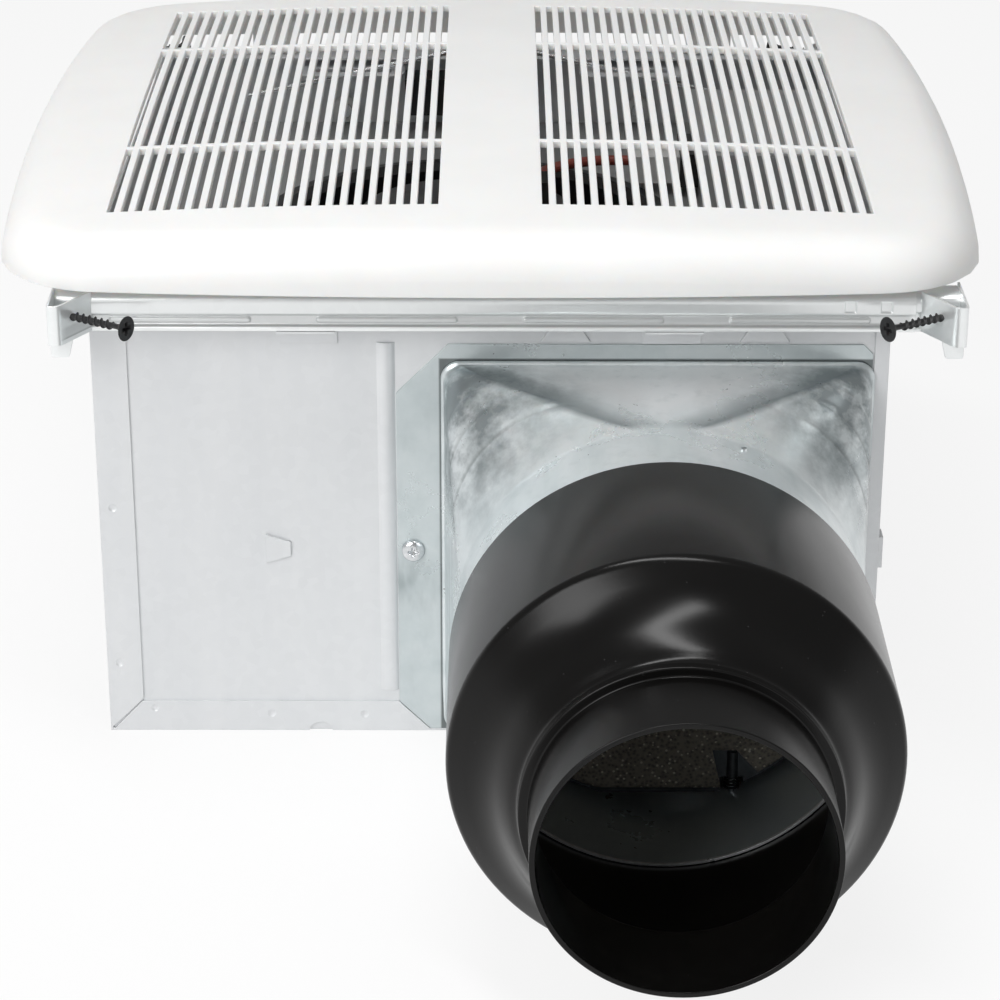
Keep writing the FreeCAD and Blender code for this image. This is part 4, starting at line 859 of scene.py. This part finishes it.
def divided(line, longest):
    """The same line with no run longer than a length."""
    fine = [line[0]]
    for start, end in zip(line, line[1:]):
        parts = max(1, math.ceil((end - start).length / longest))
        fine += [start.lerp(end, part / parts) for part in range(1, parts + 1)]
    return fine


def beside(line, distance):
    """A line in a plane moved to its left, or to its right for a negative distance."""
    moved = []
    for number, here in enumerate(line):
        before = line[max(0, number - 1)]
        after = line[min(len(line) - 1, number + 1)]
        run = (after - before).normalized()
        moved.append(here + Vector((-run.y, run.x)) * distance)
    return moved


def folded_sheet(line, wall, stations, place):
    """A bent sheet: a line of a plane with a wall beside it, put in place at each station."""
    loop = line + beside(line, wall)[::-1]
    across = len(loop)
    points = [place(station, *spot) for station in stations for spot in loop]
    faces = grid_faces(len(stations), across, True)
    for base in (0, (len(stations) - 1) * across):
        faces += [(base + i, base + i + 1, base + across - 2 - i, base + across - 1 - i)
                  for i in range(len(line) - 1)]
    return points, faces


def eased(value):
    """0 to 1 with soft ends."""
    value = min(1.0, max(0.0, value))
    return value * value * (3 - 2 * value)


def pressed(x, height):
    """How far the bar's beads stand out of its web, and its lances sink into its face."""
    middle = (BAR_FRONT_FACE + BAR_LIP) / 2
    centre = min((bead * BEAD_PITCH for bead in BEADS), key=lambda place: abs(x - place))
    past = max(0.0, abs(x - centre) - (BEAD_LENGTH / 2 - BEAD_HALF))
    bead = BEAD_PROUD * eased(2 - 2 * math.hypot(past, height - middle) / BEAD_HALF)
    face_middle = (BAR_HIGH - BAR_LOW - BAR_ROUND + BAR_FRONT_FACE) / 2
    away = min(max(abs(x - lance), abs(height - face_middle)) for lance in LANCES)
    return bead - LANCE_DEPTH * eased((LANCE_HALF - away) * 2)


def bar_section(inset):
    """The rolled section: rounded top, tall face, web set back between face and lip."""
    tall = BAR_HIGH - BAR_LOW
    web = BAR_DEPTH - BAR_STEP
    rise = BAR_STEP * 0.6
    corners = [(BAR_ROUND, tall), (BAR_DEPTH - BAR_ROUND, tall), (BAR_DEPTH, tall - BAR_ROUND),
               (BAR_DEPTH, BAR_FRONT_FACE), (web, BAR_FRONT_FACE - rise), (web, BAR_LIP + rise),
               (BAR_DEPTH, BAR_LIP), (BAR_DEPTH, 0)]
    return beside(divided(rounded_line(corners, BAR_BEND), BAR_FINE), -inset)


def bar_stations(start, end):
    """Places along a bar: close at the ends of its beads and at its lances, far apart elsewhere."""
    places = {start, end}
    for middle in BEADS:
        for side in (-1, 1):
            tip = middle * BEAD_PITCH + side * BEAD_LENGTH / 2
            places.update(tip - side * BEAD_HALF * 2 * step / 9 for step in range(10))
    for lance in LANCES:
        places.update(lance + LANCE_HALF * step / 5 for step in range(-6, 7))
    return sorted(place for place in places if start <= place <= end)


def rail(start, end, inset):
    """One bar from end to end; only the sleeve outside shows beads and lances."""
    stations = [start, end] if inset else bar_stations(start, end)

    def place(x, depth, height):
        proud = 0.0 if inset or depth < BAR_DEPTH - BAR_STEP - GAUGE - 0.1 else pressed(x, height)
        return x, FRONT - depth - proud, BAR_LOW + height

    return folded_sheet(bar_section(inset), -GAUGE, stations, place)


def end_bracket(end, web_depth):
    """The folded left end of a bar: joist flange, front hem, slanted web for the screw, and a tongue."""
    tip = FRONT - BRACKET_REACH
    run = BRACKET_REACH - web_depth + GAUGE / 2
    hem = end + BRACKET_HEM
    corners = [(end, FRONT - BAR_ROUND), (end, tip), (hem, tip),
               (hem + run * math.tan(BRACKET_SLANT), tip + run)]
    fold = folded_sheet(divided(rounded_line(corners, BRACKET_BEND), 4.0), GAUGE, [BAR_LOW, BAR_HIGH],
                        lambda z, x, y: (x, y, z))
    wide = end + TONGUE_WIDTH
    back = tip + TONGUE_BACK
    high = BAR_LOW + BAR_FRONT_FACE
    outline = rounded_line([(end, high), (end, TONGUE_LOW), (wide - 2 * GAUGE, TONGUE_LOW),
                            (wide, BAR_LOW), (wide, high)], TONGUE_BEND)
    tongue = skinned([[(x, y, z) for x, z in outline] for y in (back, back + GAUGE)])
    return merged(fold, tongue)


SCREW_RADIUS = 1.9
SCREW_CORE = 1.05
SCREW_PITCH = 2.8
SCREW_OUT = 25.0
SCREW_IN = 6.4
SCREW_HEAD = 4.7
SCREW_RISE = 9.3
SCREW_NECK = 4.4
SCREW_POINT = 5.0
THREAD_SHARE = 0.22
THREAD_STOP = 1.5
RECESS_REACH = 2.5
ROUND_STEPS = 32


def cross_recess(across, along, reach):
    """Depth of a cross-shaped driver recess, deepest in the middle."""
    narrow = min(abs(across), abs(along))
    far = max(abs(across), abs(along))
    edge = eased((reach / 4 - narrow) / 0.25 + 0.5) * eased((reach - far) / 0.5)
    return reach * 0.8 * edge * (1 - 0.5 * far / reach)


def drywall_screw():
    """A coarse screw along +Z, its head at the top: point, thread, neck, bugle head and recess."""
    shank = []
    neck = SCREW_OUT - SCREW_NECK
    steps = int((neck + SCREW_IN) / 0.2)
    for step in range(steps + 1):
        z = -SCREW_IN + (neck + SCREW_IN) * step / steps
        point_share = eased((z + SCREW_IN) / SCREW_POINT)
        ring = []
        for turn, (across, along) in enumerate(directions(ROUND_STEPS)):
            phase = (z / SCREW_PITCH - turn / ROUND_STEPS) % 1.0
            ridge = max(0.0, 1 - abs(phase - 0.5) / THREAD_SHARE) * eased(neck - THREAD_STOP - z)
            radius = point_share * (SCREW_CORE + (SCREW_RADIUS - SCREW_CORE) * ridge)
            ring.append((radius * across, radius * along, z))
        shank.append(ring)
    outline = [(neck + SCREW_NECK * share, SCREW_CORE + (SCREW_HEAD - SCREW_CORE) * share ** 2.2)
               for share in (0.2, 0.4, 0.55, 0.7, 0.8, 0.88)]
    outline += [(SCREW_OUT - 0.25, SCREW_HEAD), (SCREW_OUT - 0.06, SCREW_HEAD - 0.08)]
    outline += [(SCREW_OUT, (SCREW_HEAD - 0.25) * share) for share in np.linspace(1.0, 0.03, 18)]
    head = []
    for z, radius in outline:
        spots = [(radius * across, radius * along) for across, along in directions(ROUND_STEPS * 2)]
        head.append([(*spot, z - cross_recess(*spot, RECESS_REACH) * (z == SCREW_OUT)) for spot in spots])

    # The head has two points to each one of the shank
    first = len(shank) * ROUND_STEPS
    low = first - ROUND_STEPS
    points, faces = merged((sum(shank, []), grid_faces(len(shank), ROUND_STEPS, True)),
                           (sum(head, []), grid_faces(len(head), ROUND_STEPS * 2, True)))
    for turn in range(ROUND_STEPS):
        after = (turn + 1) % ROUND_STEPS
        middle = first + 2 * turn + 1
        faces.append((low + turn, low + after, first + 2 * after, middle, middle - 1))
    faces.append(tuple(range(len(points) - ROUND_STEPS * 2, len(points))))
    return points, faces


def parked_screw(end, web_depth):
    """The screw in the middle of a left bracket's slanted web, square to it."""
    run = BRACKET_REACH - web_depth + GAUGE / 2
    entry = Vector((end + BRACKET_HEM, FRONT - BRACKET_REACH, BAR_LOW + SCREW_RISE))
    entry += Vector((math.sin(BRACKET_SLANT), math.cos(BRACKET_SLANT), 0)) * (run / 2)
    axis = Vector((math.cos(BRACKET_SLANT), -math.sin(BRACKET_SLANT), 0))
    turn = axis.to_track_quat("Z", "Y")
    points, faces = drywall_screw()
    return [tuple(turn @ Vector(p) + entry) for p in points], faces


def hanger_bars():
    """Two pairs of bars and their screws: right ones mirrored, the rear pair turned half round."""
    shapes = []
    for kind, end, tail, inset, side in (("outer", BAR_LEFT, SLEEVE_END, 0.0, 1),
                                         ("inner", BAR_RIGHT, BAR_TAIL, BAR_NEST, -1)):
        web = BAR_DEPTH - inset
        bar = merged(rail(-end, tail, inset), end_bracket(-end, web))
        shapes.append((kind, bar, parked_screw(-end, web), side))
    for pair, half_turn in (("front", 1), ("rear", -1)):
        for kind, bar, screw, side in shapes:
            body = pair + "_" + kind
            pieces = (("_bar", bar, "bar_steel", bar_steel), ("_screw", screw, "black_screw", black_oxide))
            for ending, (points, faces), slot, finish in pieces:
                node = body + ending
                placed = [(x * side * half_turn, y * half_turn, z) for x, y, z in points]
                piece = mesh_piece(node + "_form", placed, faces, body, slot, finish, [node])
                soften(piece, 0.22, 2, 40)


hanger_bars()


# Damper foam

DAMPER_PLACE = 66.0
FOAM_BACK = 0.6
FOAM_THICK = 2.0
FOAM_RADIUS = 71.6
FOAM_TRIM = 67.6
PIVOT_OFFSET = 28.0
PIVOT_ROOM = 3.0
PIVOT_START = 51.6
FOAM_RINGS = 44
FOAM_SPOKES = 176
FOAM_MIDDLE = 0.012
FOAM_PULL = 0.55
FOAM_SUNK = 0.12
FOAM_TUCK = 0.4
PORE_SCALES = ((0.0, 0.55, 1.0), (7.0, 1.3, 0.6))
PORE_DEPTH = 0.09


def foam_reach(across, up):
    """How far the foam goes in a direction: a disc trimmed above and below, with room for two pivots."""
    rise = max(abs(up), 1e-6)
    reach = min(FOAM_RADIUS, FOAM_TRIM / rise)
    at_pivot = PIVOT_START / rise
    if any(abs(far * across - PIVOT_OFFSET) < PIVOT_ROOM for far in (reach, at_pivot)):
        reach = min(reach, at_pivot)
    return reach


def foam_height(x, z, share):
    """Height of the foam's face: pulled in at the edge and broken by pores."""
    pores = sum(weight * noise.noise(Vector((x, plane, z)) * scale) for plane, scale, weight in PORE_SCALES)
    return FOAM_THICK * (1 - FOAM_PULL * share ** 10) - FOAM_SUNK - PORE_DEPTH * (pores + 0.6)


def damper_foam():
    """The foam face of the flap: a crowned pad with open pores and edges that pull in."""
    back = FRONT - DAMPER_PLACE - FOAM_BACK
    spokes = [(across, up, foam_reach(across, up)) for across, up in directions(FOAM_SPOKES, 0.5)]
    rings = []
    for ring in range(FOAM_RINGS + 1):
        share = FOAM_MIDDLE + (1 - FOAM_MIDDLE) * ring / FOAM_RINGS
        spots = [(DUCT_X + reach * share * across, DUCT_Z + reach * share * up)
                 for across, up, reach in spokes]
        rings.append([(x, back - foam_height(x, z, share), z) for x, z in spots])
    rings.append([(DUCT_X + (reach - FOAM_TUCK) * across, back, DUCT_Z + (reach - FOAM_TUCK) * up)
                  for across, up, reach in spokes])
    pad = mesh_piece("damper_foam", *skinned(rings), "damper", "foam", foam, ["damper_pad"])


damper_foam()


# Connector screw

PAN_RADIUS = 4.5
PAN_HEIGHT = 2.5
PAN_RIM = 0.7
PAN_RECESS = 2.2
PAN_FLOOR = 0.3


def connector_screw():
    """A zinc pan head with a cross recess, close on the flange."""
    outline = [(PAN_RADIUS, PAN_FLOOR), (PAN_RADIUS, PAN_RIM)]
    outline += [(PAN_RADIUS * math.cos(turn), PAN_RIM + (PAN_HEIGHT - PAN_RIM) * math.sin(turn))
                for turn in np.linspace(0.12, 1.54, 26)]
    middle = DUCT_X - CONNECTOR_WIDTH / 2 - FLANGE_LEFT * 2 / 3
    rings = []
    for radius, height in outline:
        ring = []
        for across, along in directions(ROUND_STEPS * 2):
            spot = (radius * across, radius * along)
            sunk = min(cross_recess(*spot, PAN_RECESS), height - PAN_FLOOR) if height > PAN_RIM else 0.0
            ring.append((middle + spot[0], FRONT - height + sunk, DUCT_Z + spot[1]))
        rings.append(ring)
    mesh_piece("connector_screw_head", *skinned(rings), "housing", "zinc_fastener", zinc,
               ["connector_screw"])


connector_screw()


# Posts under the cover

POST_PLACES = (100.0, 146.3)
POST_SIZE = (20.0, 5.0)
POST_LOW = 194.3
SPRING_HEIGHT = 203.0
SPRING_SEAT = 113.0
SPRING_PLANE = 132.0
SPRING_PIN = 3.7
SPRING_WEB = 4.0


def block(low, high):
    """A box as points and faces."""
    points = [(x, y, z) for z in (low[2], high[2]) for y in (low[1], high[1]) for x in (low[0], high[0])]
    return points, [(0, 1, 3, 2), (4, 5, 7, 6), (0, 1, 5, 4), (2, 3, 7, 6), (0, 2, 6, 4), (1, 3, 7, 5)]


def upright(x, y, wide, deep, low):
    """A post from a height up into the cover's wall."""
    reach = abs(x) + wide / 2
    high = grille_top(reach, y) - GRILLE_WALL / 2
    return block((x - wide / 2, y - deep / 2, low), (x + wide / 2, y + deep / 2, high))


def spring_pin(side):
    """The pin that carries a spring's coil, with a rounded tip."""
    outline = [(SPRING_SEAT, 1.0)]
    outline += [(SPRING_PLANE + past, share) for past, share in ((1.6, 1.0), (2.2, 0.85), (2.4, 0.6))]
    rings = [[(SPRING_PIN * share * across, side * away, SPRING_HEIGHT + SPRING_PIN * share * up)
              for across, up in directions(ROUND_STEPS)] for away, share in outline]
    return skinned(rings)


def grille_posts():
    """Four feet that rest on the housing's rim and two hooks for the springs, moulded under the cover."""
    shapes = []
    for side in (-1, 1):
        for hand in (-1, 1):
            shapes.append(upright(hand * POST_PLACES[0], side * POST_PLACES[1], *POST_SIZE, POST_LOW))
        shapes.append(upright(0.0, side * SPRING_SEAT, 2 * SPRING_PIN, SPRING_WEB,
                              SPRING_HEIGHT - SPRING_PIN))
        shapes.append(spring_pin(side))
    posts = mesh_piece("grille_posts", *merged(*shapes), "grille", "grille_plastic", grille_white,
                       ["grille"])
    soften(posts, 0.5, 3, 40)


grille_posts()


# Finishes of the part's own nodes that still show
PAIRS = ("front", "rear")
FINISHES = {
    housing_steel: ["back_pan", "left_panel", "right_panel", "front_panel", "rear_panel",
                    "spring_retainers"] + [pair + "_bar_guides" for pair in PAIRS],
    shaded_inner_steel: ["blower_scroll", "blower_plate", "wiring_box", "wiring_cover"],
    zinc: ["damper_pins", "rear_bolts", "bracket_studs", "bracket_nuts"],
    shaded_flap_steel: ["damper_flap"],
    bright_steel: ["motor_shaft", "motor_bearings"] + [
        pair + "_spring_" + piece for pair in PAIRS for piece in ("coil", "left_leg", "right_leg")],
    black_oxide: ["damper_spring"],
    moulded_black: ["blower_wheel", "inlet_ring", "run_capacitor", "receptacle"],
    nylon: ["rear_nuts", "motor_plug"],
    motor_paint: ["motor_can", "motor_bracket"],
    rubber: ["isolators", "motor_terminal"],
    lead_jacket: ["motor_lead"],
}
for material, names in FINISHES.items():
    for name in names:
        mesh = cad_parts[name].data
        mesh.materials.clear()
        mesh.materials.append(material)


# Stage, light and camera, in metres

WHITE = (1, 1, 1, 1)
FLOOR_HALF = 4.0
FLOOR_DROP = 0.0002
FLOOR_PAPER = (0.88, 0.88, 0.88, 1)
FLOOR_GLOW = 0.85
WORLD_FILL = 0.30
HORIZON_FADE = 0.25


def white_floor():
    """A pale floor that reads white to the camera and in reflections, and still takes a shadow."""
    corners = [(x * FLOOR_HALF, y * FLOOR_HALF, 0) for x, y in ((-1, -1), (1, -1), (1, 1), (-1, 1))]
    mesh = bpy.data.meshes.new("floor")
    mesh.from_pydata(corners, [], [(0, 1, 2, 3)])
    floor = bpy.data.objects.new("floor", mesh)
    bpy.context.scene.collection.objects.link(floor)
    floor.location.z = -FLOOR_DROP
    material = bpy.data.materials.new("floor")
    material.use_nodes = True
    nodes = Nodes(material.node_tree)
    nodes.tree.nodes.clear()
    paper = nodes.node("BsdfDiffuse", Color=FLOOR_PAPER)
    glow = nodes.node("Emission", Color=WHITE, Strength=1.0)
    rays = nodes.node("LightPath").outputs
    seen = nodes.math("MAXIMUM", rays["Is Camera Ray"], rays["Is Glossy Ray"])
    seen = nodes.math("MAXIMUM", seen, rays["Is Transmission Ray"])
    mix = nodes.node("MixShader")
    sources = (nodes.math("MULTIPLY", seen, FLOOR_GLOW), paper.outputs[0], glow.outputs[0])
    for socket, source in zip(mix.inputs, sources):
        nodes.feed(socket, source)
    nodes.node("OutputMaterial", Surface=mix.outputs[0])
    mesh.materials.append(material)
    floor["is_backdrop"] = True


def studio_world():
    """White to the camera; reflections see a white horizon under a dim ceiling, the rest a soft fill."""
    world = bpy.data.worlds.new("studio")
    bpy.context.scene.world = world
    world.use_nodes = True
    nodes = Nodes(world.node_tree)
    rays = nodes.node("LightPath").outputs
    mirrored = nodes.math("MAXIMUM", rays["Is Glossy Ray"], rays["Is Transmission Ray"])
    heading = nodes.node("TexCoord").outputs["Generated"]
    height = nodes.node("SeparateXYZ", Vector=heading).outputs["Z"]
    low = nodes.math("MULTIPLY", mirrored, nodes.band(height, HORIZON_FADE, 0.0))
    seen = nodes.math("MAXIMUM", rays["Is Camera Ray"], low)
    background = nodes.tree.nodes["Background"]
    nodes.feed(background.inputs["Color"], WHITE)
    nodes.feed(background.inputs["Strength"], nodes.scaled(seen, WORLD_FILL, 1.0))


def soft_lamp(name, place, aim, wide, tall, power):
    """A rectangular area lamp that shines from a place towards an aim."""
    lamp = bpy.data.lights.new(name, "AREA")
    lamp.shape = "RECTANGLE"
    lamp.size = wide
    lamp.size_y = tall
    lamp.energy = power
    thing = bpy.data.objects.new(name, lamp)
    thing.location = place
    thing.rotation_euler = (Vector(aim) - Vector(place)).to_track_quat("-Z", "Y").to_euler()
    bpy.context.scene.collection.objects.link(thing)


# The camera that was fitted to the photograph
CAMERA_PLACE = (0.00272, -1.24727, 0.59138)
CAMERA_PITCH = math.radians(24.11)
CAMERA_YAW = math.radians(0.06)
CAMERA_ROLL = math.radians(0.12)
CAMERA_LENS = 111.645


def photo_camera():
    """The photograph's own view: a long lens above the duct side, nearly level across."""
    lens = bpy.data.cameras.new("photo_camera")
    lens.lens = CAMERA_LENS
    lens.sensor_width = 36.0
    camera = bpy.data.objects.new("photo_camera", lens)
    bpy.context.scene.collection.objects.link(camera)
    stand = Matrix.Translation(CAMERA_PLACE)
    for angle, axis in ((-CAMERA_YAW, "Z"), (math.pi / 2 - CAMERA_PITCH, "X"), (CAMERA_ROLL, "Z")):
        stand = stand @ Matrix.Rotation(angle, 4, axis)
    camera.matrix_world = stand
    bpy.context.scene.camera = camera


white_floor()
studio_world()
soft_lamp("key", (-0.06, -0.30, 1.50), (0.03, -0.22, 0.12), 1.20, 0.22, 10.2)
soft_lamp("fill", (-0.9, -1.5, 1.1), (0, -0.1, 0.12), 1.0, 1.0, 19)
photo_camera()
bpy.context.scene.view_settings.view_transform = "Standard"

bpy.context.view_layer.update()
[[list(corner) for corner in box] for box in (cad_box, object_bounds())]
